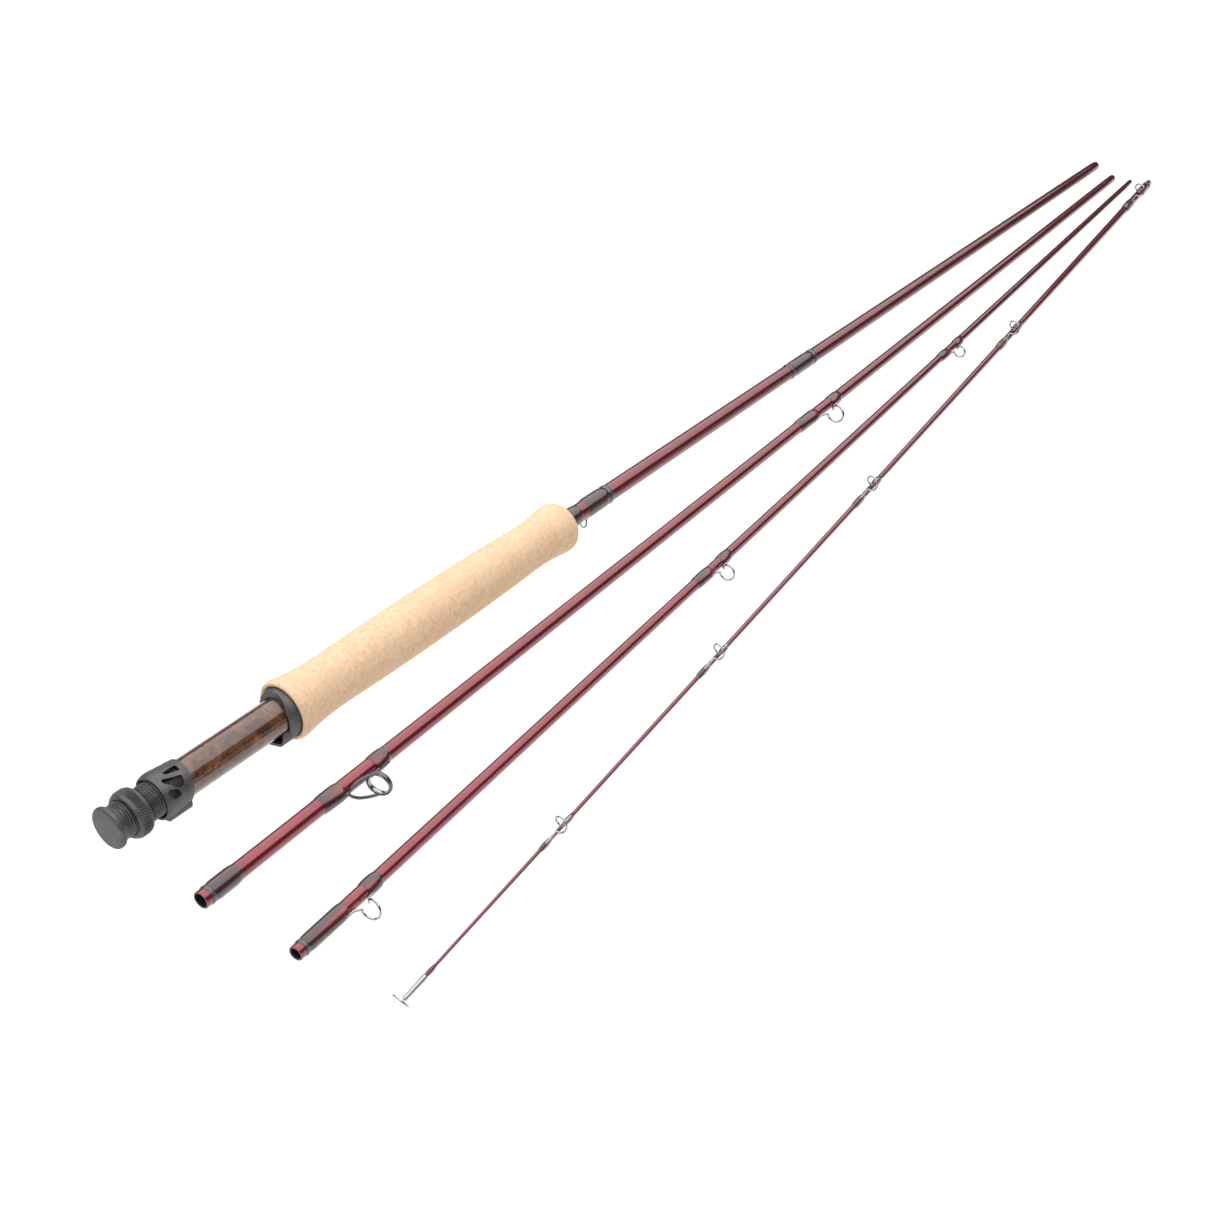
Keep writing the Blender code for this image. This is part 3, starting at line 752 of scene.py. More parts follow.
def block(
    low: Sequence[float], high: Sequence[float], rounding: float = 0.0, slant: float = 0.0
) -> Mesh:
    """Make a box.

    Args:
        low: Its lowest corner.
        high: Its highest corner.
        rounding: The radius of its two lowest lengthwise edges.
        slant: How far its top is moved towards +X.

    Returns:
        The mesh.
    """
    bm = bmesh.new()
    bmesh.ops.create_cube(bm, size=1.0)
    for vert in bm.verts:
        unit = vert.co + Vector((0.5, 0.5, 0.5))
        vert.co = Vector([a + (b - a) * t for a, b, t in zip(low, high, unit)])
        vert.co.x += slant * unit.z
    if rounding:
        edges = [
            edge
            for edge in bm.edges
            if max(vert.co.z for vert in edge.verts) < low[2] + 0.001
            and abs(edge.verts[0].co.x - edge.verts[1].co.x) > 0.001
        ]
        bmesh.ops.bevel(bm, geom=edges, offset=rounding, segments=6, affect="EDGES", profile=0.5)
    mesh = bpy.data.meshes.new("block")
    bm.to_mesh(mesh)
    bm.free()
    return mesh


def bar(stations: tuple[float, float], radius: float, sides: int = 128) -> Mesh:
    """Make a round bar on the section's axis."""
    low, high = stations
    return turn([(high, 0.0), (high, radius), (low, radius), (low, 0.0)], closed=False, sides=sides)


def window(corners: Sequence[Point], radii: tuple[float, float], rounding: float) -> Mesh:
    """Make a radial cutter over a polygon with rounded corners.

    Args:
        corners: (station, degrees from the top) corners.
        radii: Where the cutter begins and ends.
        rounding: How far back each corner is rounded.

    Returns:
        The mesh.
    """
    middle = sum(radii) / 2
    flat = [(station, math.radians(degrees) * middle, rounding) for station, degrees in corners]
    outline = fillet(flat, closed=True, steps=6)
    rings = [
        [
            Vector((station, radius * math.sin(arc / middle), radius * math.cos(arc / middle)))
            for station, arc in outline
        ]
        for radius in radii
    ]
    bm = bmesh.new()
    loops = [[bm.verts.new(point) for point in ring] for ring in rings]
    for loop in loops:
        bm.faces.new(loop)
    for i in range(len(outline)):
        j = (i + 1) % len(outline)
        bm.faces.new((loops[0][i], loops[0][j], loops[1][j], loops[1][i]))
    bmesh.ops.recalc_face_normals(bm, faces=bm.faces)
    mesh = bpy.data.meshes.new("window")
    bm.to_mesh(mesh)
    bm.free()
    return mesh


# Geometry Nodes


class GrowthTree(NodeTree):
    """A Geometry Nodes tree that grows one kind of mesh, with named inputs for its sizes."""

    def __init__(self, name: str, sizes: dict[str, str]) -> None:
        """Make the tree with a socket for each size, whose type is Float or Int."""
        tree = bpy.data.node_groups.new(name, "GeometryNodeTree")
        super().__init__(tree)
        tree.interface.new_socket("Geometry", in_out="INPUT", socket_type="NodeSocketGeometry")
        for label, kind in sizes.items():
            tree.interface.new_socket(label, in_out="INPUT", socket_type=f"NodeSocket{kind}")
        tree.interface.new_socket("Material", in_out="INPUT", socket_type="NodeSocketMaterial")
        tree.interface.new_socket("Geometry", in_out="OUTPUT", socket_type="NodeSocketGeometry")
        self.entry = tree.nodes.new("NodeGroupInput")

    def given(self, label: str) -> Signal:
        """Give one of the tree's inputs."""
        return Signal(self, self.entry.outputs[label])

    def close(self, geometry: Signal) -> None:
        """End the tree in realised, painted geometry."""
        real = self.node("GeometryNodeRealizeInstances", inputs={0: geometry})
        painted = self.node(
            "GeometryNodeSetMaterial", inputs={"Geometry": real, "Material": self.given("Material")}
        )
        exit_node = self.tree.nodes.new("NodeGroupOutput")
        self.feed(exit_node.inputs[0], painted)

    def grow(self, mesh: Mesh, material: Material, **sizes: float) -> Mesh:
        """Run the tree on a mesh.

        Args:
            mesh: The geometry that goes in.
            material: The material of what comes out.
            sizes: A value for each size, named in lower case with underscores.

        Returns:
            The grown mesh.
        """
        values = {name.replace("_", " ").title(): value for name, value in sizes.items()}
        values["Material"] = material

        def add(obj: bpy.types.Object) -> list[bpy.types.Object]:
            modifier = obj.modifiers.new("grow", "NODES")
            modifier.node_group = self.tree
            for item in self.tree.interface.items_tree:
                if item.in_out == "INPUT" and item.name in values:
                    modifier[item.identifier] = values[item.name]
            return []

        return evaluated(mesh, add)


def wire_tree() -> GrowthTree:
    """Build the tree that sweeps a round wire along a path, as thick as the path's radius mark."""
    tree = GrowthTree("wire", {"Wire Radius": "Float", "Sides": "Int"})
    curve = tree.node("GeometryNodeMeshToCurve", inputs={"Mesh": tree.given("Geometry")})
    circle = tree.node(
        "GeometryNodeCurvePrimitiveCircle",
        inputs={"Resolution": tree.given("Sides"), "Radius": tree.given("Wire Radius")},
    )
    swept = tree.node(
        "GeometryNodeCurveToMesh",
        inputs={"Curve": curve, "Profile Curve": circle, "Fill Caps": True},
    )
    tree.close(swept)
    return tree


def knurl_tree() -> GrowthTree:
    """Build the tree that sets rows of small pyramids round a ring, each row half a step on."""
    tree = GrowthTree(
        "knurl",
        {"Around": "Int", "Rows": "Int", "Radius": "Float", "Start": "Float", "Step": "Float"},
    )
    around, rows = tree.given("Around"), tree.given("Rows")
    points = tree.node("GeometryNodePoints", inputs={"Count": around * rows})
    index = tree.node("GeometryNodeInputIndex")
    row = index.maths("FLOOR", index / around)
    column = index - row * around + row * 0.5
    angle = column / around * (2 * math.pi)
    radius = tree.given("Radius")
    spot = tree.node(
        "ShaderNodeCombineXYZ",
        inputs={
            0: tree.given("Start") + row * tree.given("Step"),
            1: radius * index.maths("SINE", angle), 2: radius * index.maths("COSINE", angle),
        },
    )
    placed = tree.node("GeometryNodeSetPosition", inputs={"Geometry": points, "Position": spot})
    stud = tree.node(
        "GeometryNodeMeshCone",
        inputs={
            "Vertices": 4, "Radius Top": 0.12, "Radius Bottom": tree.given("Step") * 0.98,
            "Depth": 0.46,
        },
        output="Mesh",
    )
    turned = tree.node("ShaderNodeCombineXYZ", inputs={0: 0.0 - angle, 1: 0.0, 2: 0.0})
    studs = tree.node(
        "GeometryNodeInstanceOnPoints",
        inputs={"Points": placed, "Instance": stud, "Rotation": turned},
    )
    tree.close(studs)
    return tree


def thread_tree() -> GrowthTree:
    """Build the tree that raises a helical screw thread on a plain barrel."""
    tree = GrowthTree(
        "screw_thread", {name: "Float" for name in ("Pitch", "Depth", "Low", "High", "Root")}
    )
    where = tree.node("GeometryNodeInputPosition")
    split = tree.node("ShaderNodeSeparateXYZ", inputs={0: where})
    y, z = (Signal(tree, split.socket.node.outputs[i]) for i in (1, 2))
    angle = split.maths("ARCTAN2", y, z)
    phase = split / tree.given("Pitch") - angle / (2 * math.pi)
    ridge = (phase.fold(0.5) * 2.0) ** 0.6
    reach = (y * y + z * z) ** 0.5
    outside = split.maths("GREATER_THAN", reach, tree.given("Root") - 0.05)
    ramps = []
    for edge, sign in (("Low", 1.0), ("High", -1.0)):
        inset = (split - tree.given(edge)) * sign
        ramp = {"Value": inset, "From Min": 0.0, "From Max": 1.0}
        ramps.append(tree.node("ShaderNodeMapRange", inputs=ramp))
    inside = ramps[0] * ramps[1]
    grow = ridge * tree.given("Depth") * outside * inside / reach
    push = tree.node("ShaderNodeCombineXYZ", inputs={0: 0.0, 1: y * grow, 2: z * grow})
    placed = tree.node(
        "GeometryNodeSetPosition", inputs={"Geometry": tree.given("Geometry"), "Offset": push}
    )
    tree.close(placed)
    return tree


# Where the sections lie


@dataclass(frozen=True)
class Lie:
    """How a section lies: its near end, its axis's height there, and its three turns in degrees."""

    start: tuple[float, float]
    height: float
    roll: float
    pitch: float
    heading: float

    def matrix(self) -> Matrix:
        """Give the turn and shift from the section's frame to the fan's, in millimetres."""
        turns = Euler([math.radians(a) for a in (self.roll, self.pitch, self.heading)])
        return Matrix.Translation((*self.start, self.height)) @ turns.to_matrix().to_4x4()


class Section(Enum):
    """The rod's four sections, and how each lies."""

    BUTT = Lie((0.0, 0.5), 14.85, -16.0, 0.6626, 0.0)
    MID_1 = Lie((0.0, -50.4), 7.15, -90.0, 0.370, 3.06)
    MID_2 = Lie((3.5, -96.6), 4.6, -88.0, 0.1325, 5.83)
    TIP = Lie((12.8, -141.7), 1.6, -158.0, -0.078, 8.69)


@dataclass
class Fan:
    """The fan of sections, placed by the lock ring's joint in the model."""

    frame: dict[str, Any]
    ring_station: float = 12.6
    shift: Vector = field(init=False)

    def __post_init__(self) -> None:
        """Work out where the fan's own origin is in the model."""
        joint = next(j for j in self.frame["joints"] if j["name"] == "lock_ring_turn")
        centre = Section.BUTT.value.matrix() @ Vector((self.ring_station, 0.0, 0.0))
        self.shift = Vector(joint["pos_m"]) - centre * MM

    def placing(self, section: Section) -> Matrix:
        """Give the matrix that carries a section's millimetres into the model's metres."""
        return Matrix.Translation(self.shift) @ Matrix.Scale(MM, 4) @ section.value.matrix()


@dataclass
class Bench:
    """Where the pieces of one section are finished and set in place."""

    section: Section
    body: str
    fan: Fan
    paint: PaintShop
    wires: GrowthTree

    def place(
        self, node: str, mesh: Mesh, finish: Finish, body: str | None = None, crease: float = 35.0
    ) -> bpy.types.Object:
        """Set a shaped piece in place of a model node.

        Args:
            node: The node that the piece stands for.
            mesh: The piece's mesh, in the section's frame.
            finish: Its finish.
            body: The body it rides on, if not the section's own.
            crease: The angle in degrees past which an edge stays sharp.

        Returns:
            The piece.
        """
        mesh.name = f"{node}_piece"
        mesh.transform(self.fan.placing(self.section))
        mesh.materials.clear()
        mesh.materials.append(self.paint.material(finish))
        mesh.shade_smooth()
        mesh.set_sharp_from_angle(angle=math.radians(crease))
        mesh.update()
        piece = bpy.data.objects.new(f"{node}_piece", mesh)
        bpy.context.scene.collection.objects.link(piece)
        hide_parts(node)
        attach(piece, body or self.body)
        LOG.info("%s: %d faces, %s", piece.name, len(mesh.polygons), finish.slot)
        return piece

    def keep(self, node: str, finish: Finish) -> None:
        """Keep a model node's own shape and give it a finish."""
        obj = self.fan.frame["nodes"][node]
        obj.data.materials.clear()
        obj.data.materials.append(self.paint.material(finish))
        LOG.info("%s: kept, %s", node, finish.slot)

    def wire(
        self,
        path: Sequence[Vector],
        diameter: float,
        finish: Finish,
        taper: Callable[[float], float] | None = None,
        loop: bool = False,
        sides: int = 16,
    ) -> Mesh:
        """Sweep a round wire along a path.

        Args:
            path: The wire's centre line.
            diameter: Its diameter.
            finish: Its finish.
            taper: Gives the thickness, from 0 to 1, at each fraction of the path.
            loop: Whether the path closes on itself.
            sides: How many sides the wire has.

        Returns:
            The wire's mesh.
        """
        count = len(path)
        mesh = bpy.data.meshes.new("path")
        edges = [(i, i + 1) for i in range(count - 1)]
        mesh.from_pydata(path, [*edges, (count - 1, 0)] if loop else edges, [])
        sizes = [taper(i / (count - 1)) if taper else 1.0 for i in range(count)]
        mesh.attributes.new("radius", "FLOAT", "POINT").data.foreach_set("value", sizes)
        material = self.paint.material(finish)
        grown = self.wires.grow(mesh, material, wire_radius=diameter / 2, sides=sides)
        return tidy(grown, 1e-5)


# Parts that several sections share


def straight_taper(near: float, far: float) -> Radius:
    """Give the radius of a blank with a straight taper between its two end radii."""
    return lambda station: near + (far - near) * station / SECTION_LENGTH


@dataclass(frozen=True)
class Blank:
    """A tapered tube with a socket in its near end and a rounded far end."""

    node: str
    radius_at: Radius
    socket: float
    depth: float
    start: float = 0.0
    # How much of the browner far colour the far end takes.
    far_browning_share: float = 1.0

    def mesh(self) -> Mesh:
        """Shape the tube."""
        end = SECTION_LENGTH
        tip = self.radius_at(end)
        wall_lip = self.radius_at(self.start)
        outline = [
            (end, 0.0),
            (end - 0.05 * tip, 0.5 * tip),
            (end - 0.3 * tip, 0.85 * tip),
            (end - 0.8 * tip, tip),
            *[(s, self.radius_at(s)) for s in range(int(end) - 10, int(self.start) + 6, -25)],
            (self.start + 0.25, wall_lip),
            (self.start, wall_lip - 0.2),
            (self.start, self.socket + 0.15),
            (self.start + 0.2, self.socket),
            (self.start + self.depth, self.socket),
            (self.start + self.depth + self.socket, 0.0),
        ]

        def marks(station: float, radius: float) -> dict[str, float]:
            return {
                # Share of the browner far colour, growing along the section.
                "age": self.far_browning_share * max(0.0, min(1.0, station / SECTION_LENGTH)),
                # Marks the socket's inside, which the finish paints near-black: bare graphite with
                # painted shade.
                "bore": float(radius < self.radius_at(station) - 0.25 and station < end - 2 * tip),
            }

        return turn(outline, closed=False, sides=48, marks=marks)


class Foot(Enum):
    """The end at which a guide's foot runs in under a wrap."""

    NONE = 0
    LOW = 1
    HIGH = 2


@dataclass(frozen=True)
class Wrap:
    """A thread wrap, which swells over a guide's foot and fades at its ends."""

    node: str
    low: float
    high: float
    rise: float
    foot: Foot = Foot.NONE
    foot_height: float = 0.55
    sides: int = 48

    def mesh(self, radius_at: Radius) -> Mesh:
        """Shape the wrap on a blank of that radius."""
        rows = max(14, int((self.high - self.low) * 2))
        rings = []
        glow = []
        inner = 0.06
        for i in range(rows + 1):
            t = i / rows
            station = self.low + (self.high - self.low) * t
            edge = min(t, 1 - t) * (self.high - self.low)
            body = self.rise * (1 - (1 - min(1.0, edge / 3.6)) ** 2)
            lean = {Foot.NONE: 0.0, Foot.LOW: 1 - t, Foot.HIGH: t}[self.foot]
            hump = self.foot_height * lean**0.6 * min(1.0, 0.45 + edge / 1.6)
            base = radius_at(station) + 0.06 + body

            def reach(angle: float, base: float = base, hump: float = hump) -> float:
                away = math.atan2(math.sin(angle), math.cos(angle))
                return base + hump * math.exp(-((away / 0.62) ** 2))

            rings.append(ring_at(station, reach, self.sides))
            for k in range(self.sides):
                angle = 2 * math.pi * k / self.sides
                away = abs(math.atan2(math.sin(angle), math.cos(angle)))
                beside = math.exp(-(((away - 0.95) / 0.30) ** 2))
                glow.append(min(1.0, beside * lean**1.2 * min(1.0, edge / 1.2)))
        for station in (self.high, self.low):
            rings.append(ring_at(station, radius_at(station) + inner, self.sides))
            glow += [0.0] * self.sides
        return loft(rings, closed=True, marks={"glow": glow})


@dataclass(frozen=True)
class Trim:
    """A narrow band of trim thread."""

    node: str
    low: float
    high: float
    rise: float = 0.32

    def mesh(self, radius_at: Radius) -> Mesh:
        """Shape the band on a blank of that radius."""
        radius = radius_at((self.low + self.high) / 2)
        edge = min(0.5, (self.high - self.low) / 3)
        outline = fillet(
            [
                (self.high, radius + 0.16, 0.1), (self.high - edge, radius + self.rise, 0.4),
                (self.low + edge, radius + self.rise, 0.4), (self.low, radius + 0.16, 0.1),
                (self.low, radius + 0.05), (self.high, radius + 0.05),
            ],
            closed=True,
        )
        return turn(outline, sides=48)


@dataclass(frozen=True)
class SnakeGuide:
    """A snake guide: a foot under each wrap and one full turn of wire between them."""

    node: str
    centre: float
    low_face: float
    high_face: float
    loop: float
    height: float
    wire: float

    def mesh(self, bench: Bench, radius_at: Radius) -> Mesh:
        """Shape the guide on a blank of that radius."""
        radius = (self.loop - self.wire) / 2
        pitch = 0.42 * (self.high_face - self.low_face)
        lie = radius_at(self.centre) + self.wire / 2 + 0.10
        reach = 4.5  # how far a foot runs in under its wrap
        low, high = self.low_face, self.high_face
        knots = [(low - reach, 0.0, -lie + 0.1), (low, 0.0, -lie), (low + 0.8, 0.0, -lie)]
        turns = 14
        for i in range(turns + 1):
            angle = 2 * math.pi * i / turns
            ease = i / turns - 0.5
            knots.append(
                (
                    self.centre + pitch * ease,
                    radius * math.sin(angle),
                    radius * math.cos(angle) - self.height,
                )
            )
        knots += [(high - 0.8, 0.0, -lie), (high, 0.0, -lie), (high + reach, 0.0, -lie + 0.1)]

        def taper(t: float) -> float:
            return min(1.0, 0.4 + 8.0 * min(t, 1 - t))

        return bench.wire(smooth_path(knots, 5), self.wire, CHROME, taper)


@dataclass
class GuideSection:
    """A section that is a blank with wraps, trim bands and snake guides on it."""

    bench: Bench
    blank: Blank
    wraps: tuple[Wrap, ...]
    trims: tuple[Trim, ...]
    guides: tuple[SnakeGuide, ...]

    def build(self) -> None:
        """Make the section's pieces."""
        radius_at = self.blank.radius_at
        self.bench.place(self.blank.node, self.blank.mesh(), VARNISH)
        for wrap in self.wraps:
            self.bench.place(wrap.node, wrap.mesh(radius_at), WRAPPING)
        for trim in self.trims:
            self.bench.place(trim.node, trim.mesh(radius_at), TRIM)
        for guide in self.guides:
            self.bench.place(guide.node, guide.mesh(self.bench, radius_at), CHROME, crease=60.0)


# Butt section


@dataclass
class ReelSeat:
    """The reel seat: cap, threaded barrel, lock ring, sliding hood, burl insert and fixed hood."""

    bench: Bench
    thread_root: float = 6.85
    thread_depth: float = 0.88
    thread_pitch: float = 1.27
    barrel: tuple[float, float] = (4.9, 36.6)
    barrel_flat: float = 6.6
    ring: tuple[float, float] = (8.7, 16.2)
    ring_radius: float = 10.1
    knurl_around: int = 48
    knurl_rows: int = 6
    knurl_step: float = 0.66
    hood: tuple[float, float] = (22.9, 39.4)
    hood_radii: tuple[float, float] = (10.2, 8.95)
    hood_bore: float = 8.4
    hood_front: tuple[float, float] = (35.1, 4.3)
    reach: float = 10.2
    pocket: float = 5.2
    wall: float = 1.0
    wood: tuple[float, float] = (36.8, 92.0)
    wood_radius: float = 8.0
    fixed: tuple[float, float] = (89.2, 103.6)
    fixed_radius: float = 11.2
    fixed_bore: float = 8.2
    lip: float = 84.5
    lip_slant: float = 7.6
    slant_reach: float = 12.7

    def butt_cap(self) -> None:
        """Turn the cap: a flat disc with a rounded rim, a waist, and a plug for the barrel."""
        outline = fillet(
            [
                (12.0, 0.0), (12.0, 5.5), (4.7, 5.5), (4.7, 7.6, 0.2), (3.0, 8.15, 0.3),
                (2.6, 8.3, 0.3), (2.3, 9.15, 0.7), (0.0, 9.15, 1.5), (0.0, 0.0),
            ]
        )
        self.bench.place("butt_cap", turn(outline, closed=False), ANODISED)

    def seat_barrel(self) -> None:
        """Turn the barrel, raise its thread and mill its flat."""
        low, high = self.barrel
        root = self.thread_root
        rows = int((high - low) / self.thread_pitch * 10)
        outside = [(high - (high - low) * i / rows, root) for i in range(rows + 1)]
        plain = turn([*outside, (low, 5.8), (high, 5.8)], sides=96)
        threaded = thread_tree().grow(
            plain,
            self.bench.paint.material(ANODISED),
            pitch=self.thread_pitch,
            depth=self.thread_depth,
            low=low,
            high=high,
            root=root,
        )
        for vert in threaded.vertices:
            if vert.co.x > 20.0:
                vert.co.z = max(vert.co.z, -self.barrel_flat)
        self.bench.place("seat_barrel", threaded, ANODISED)

    def lock_ring(self) -> None:
        """Turn the lock ring and cut its diamond knurl."""
        low, high = self.ring
        radius = self.ring_radius
        body = turn(
            fillet(
                [
                    (high, 9.0, 0.25), (high - 0.95, 9.95, 0.3), (high - 1.25, 9.95, 0.1),
                    (high - 1.4, radius - 0.25, 0.05), (low + 1.65, radius - 0.25, 0.1),
                    (low + 1.5, 9.95, 0.1), (low + 1.1, 9.9, 0.5), (low, 9.05, 0.4), (low, 7.95),
                    (11.9, 7.95), (11.9, 9.1), (13.3, 9.1), (13.3, 7.95), (high, 7.95),
                ],
                closed=True,
            ),
            sides=128,
        )
        studs = knurl_tree().grow(
            bpy.data.meshes.new("seed"),
            self.bench.paint.material(ANODISED),
            around=self.knurl_around,
            rows=self.knurl_rows,
            radius=radius - 0.25,
            start=low + 2.1,
            step=self.knurl_step,
        )
        self.bench.place("lock_ring", join([body, studs]), ANODISED, "lock_ring", 20.0)
        self.bench.keep("lock_ring_o_ring", RUBBER)

    def sliding_hood(self) -> None:
        """Shape the skeleton hood, with its foot pocket and its three windows on each side."""
        low, high = self.hood
        widest, narrowest = self.hood_radii
        outline = fillet(
            [
                (high, narrowest, 0.1), (27.0, widest, 2.5), (24.8, widest - 0.05, 1.0),
                (low + 0.1, 9.45, 0.3), (low, self.hood_bore + 0.3, 0.3),
                (low + 1.0, self.hood_bore, 0.2), (high, self.hood_bore),
            ],
            closed=True,
        )
        outer = self.pocket + self.wall
        front, slant = self.hood_front
        deep = self.slant_reach
        windows = []
        for corners in (
            ((28.4, 22.0), (35.9, 18.5), (35.6, 40.0), (29.4, 31.0)),
            ((25.7, 35.5), (34.8, 50.5), (33.2, 77.0), (30.5, 74.0), (25.6, 46.5)),
            ((25.4, 64.5), (29.8, 73.5), (30.6, 91.5), (26.9, 94.0), (24.9, 76.0)),
        ):
            windows += [corners, tuple((station, -turn) for station, turn in corners)]
        steps = [
            ("UNION", block((24.6, -outer, -self.reach), (high, outer, -6.0), 2.0)),
            ("DIFFERENCE", bar((low + 1.2, high + 1), self.hood_bore)),
            (
                "DIFFERENCE",
                block(
                    (25.8, -self.pocket, self.wall - self.reach), (high + 1, self.pocket, -4.0), 1.2
                ),
            ),
            ("DIFFERENCE", block((front, -20.0, -deep), (front + 30, 20.0, deep), slant=slant)),
            *[("DIFFERENCE", window(corners, (7.8, 12.0), 1.2)) for corners in windows],
        ]
        mesh = carve(turn(outline, sides=128), steps, 0.16)
        self.bench.place("sliding_hood", mesh, ANODISED, "sliding_hood")

    def wood_insert(self) -> None:
        """Turn the burl insert and mill the flat for the reel's foot."""
        low, high = self.wood
        radius = self.wood_radius
        rows = 24
        outside = [
            (high - (high - low) * i / rows, radius - 0.1 * (high - low) * (rows - i) / rows / 53.5)
            for i in range(rows + 1)
        ]
        mesh = turn([*outside, (low, 5.8), (high, 5.8)], sides=128)
        for vert in mesh.vertices:
            depth = 6.5 if 41.0 < vert.co.x < 80.0 else 6.7
            vert.co.z = max(vert.co.z, -depth)
        self.bench.place("wood_insert", mesh, BURL)

    def fixed_hood(self) -> None:
        """Shape the fixed hood: a sleeve sunk in the cork, with a slanted lip and a pocket."""
        low, high = self.fixed
        floor = 92.3
        outline = fillet(
            [
                (high, self.fixed_radius), (93.0, self.fixed_radius, 0.8), (91.3, 10.7, 1.0),
                (89.9, 9.6, 1.0), (low, 8.9, 0.3), (low, self.fixed_bore, 0.2),
                (floor, self.fixed_bore), (floor, 5.0), (high, 5.0),
            ],
            closed=True,
        )
        outer = self.pocket + self.wall
        lip, radius, deep = self.lip, self.fixed_radius, self.slant_reach
        steps = [
            ("UNION", block((lip - 1, -outer, -radius), (93.3, outer, -5.0), 3.4)),
            ("DIFFERENCE", bar((lip - 5, floor - 0.01), self.fixed_bore)),
            (
                "DIFFERENCE",
                block((lip - 5, -self.pocket, self.wall - radius), (92.0, self.pocket, -4.0), 2.4),
            ),
            (
                "DIFFERENCE",
                block((lip - 30, -20.0, -deep), (lip, 20.0, deep), slant=self.lip_slant),
            ),
        ]
        self.bench.place("fixed_hood", carve(turn(outline, sides=128), steps, 0.3), ANODISED)

    def build(self) -> None:
        """Make the seat's pieces."""
        self.butt_cap()
        self.seat_barrel()
        self.lock_ring()
        self.sliding_hood()
        self.wood_insert()
        self.fixed_hood()
        for node in ("seat_arbor_rear", "seat_arbor_front"):
            self.bench.keep(node, FIBRE)


@dataclass
class Grip:
    """The full-wells cork grip."""

    bench: Bench
    rear: float = 93.5
    front: float = 269.0
    swell: tuple[tuple[float, float], ...] = (
        (94.2, 13.35), (96.0, 13.65), (98.5, 13.3), (104.0, 12.55), (111.0, 11.95), (122.0, 11.6),
        (136.0, 11.85), (158.0, 12.0), (182.0, 11.9), (206.0, 11.6), (230.0, 10.95), (243.0, 10.45),
        (250.0, 10.5), (257.0, 11.1), (262.0, 11.65), (265.8, 11.5), (268.2, 10.0),
    )

    def build(self) -> None:
        """Turn the grip, with the well for the fixed hood and the bore for the blank."""
        curve = smooth_path([(station, radius, 0.0) for station, radius in self.swell], 5)
        outline = [(self.front, 6.3), (self.front - 0.25, 8.4)]
        outline += [(point.x, point.y) for point in reversed(curve)]
        outline += [(self.rear, 12.75), (self.rear, 11.8), (self.rear + 0.4, 11.4), (103.9, 11.4)]
        outline += [(103.9, 4.85), (self.front, 4.85)]
        self.bench.place("cork_grip", turn(outline, sides=128), CORK)


@dataclass
class ButtShaft:
    """The butt blank in front of the grip, with its wraps and its hook keeper."""

    bench: Bench
    straight: float = 4.7
    straight_end: float = 197.0
    tip: float = 2.6
    keeper_turn: float = -4.0
    keeper: tuple[float, float] = (279.35, 283.0)

    def radius_at(self, station: float) -> float:
        """Give the blank's radius, which is even as far as the grip's middle."""
        taper = (self.tip - self.straight) / (SECTION_LENGTH - self.straight_end)
        return self.straight + taper * max(0.0, station - self.straight_end)

    def hook_keeper(self) -> Mesh:
        """Bend the keeper's wire loop and turn it to its place round the blank."""
        low, high = self.keeper
        middle = (low + high) / 2
        lie = self.radius_at(low) + 0.45
        knots = [
            (low - 2.5, 0.0, lie - 0.1), (low - 0.6, 0.0, lie), (low + 0.05, 0.0, lie + 0.8),
            (low + 0.15, 0.0, 6.5), (middle - 0.9, 0.0, 7.45), (middle, 0.0, 7.6),
            (middle + 0.9, 0.0, 7.45), (high - 0.15, 0.0, 6.5), (high - 0.05, 0.0, lie + 0.8),
            (high + 0.6, 0.0, lie), (high + 2.5, 0.0, lie - 0.1),
        ]
        path = smooth_path([(s, side, -q) for s, side, q in knots], 5)
        mesh = self.bench.wire(path, 0.8, CHROME)
        mesh.transform(Matrix.Rotation(math.radians(self.keeper_turn), 4, "X"))
        return mesh

    def build(self) -> None:
        """Make the shaft's pieces."""
        blank = Blank("butt_blank", self.radius_at, self.straight - 0.9, 300.0, start=14.0)
        wraps = (
            Wrap("grip_wrap", 269.5, 278.8, 0.32),
            Wrap("keeper_wrap", 283.3, 297.6, 0.36),
            Wrap("signature_wrap", 441.8, 457.5, 0.22),
        )
        trims = (
            Trim("keeper_trim", 297.8, 300.2),
            Trim("signature_trim_rear", 439.4, 441.6, 0.26),
            Trim("signature_trim_front", 457.7, 460.2, 0.26),
        )
        GuideSection(self.bench, blank, wraps, trims, ()).build()
        self.bench.place("hook_keeper", self.hook_keeper(), CHROME, crease=60.0)


# Mid sections and tip section


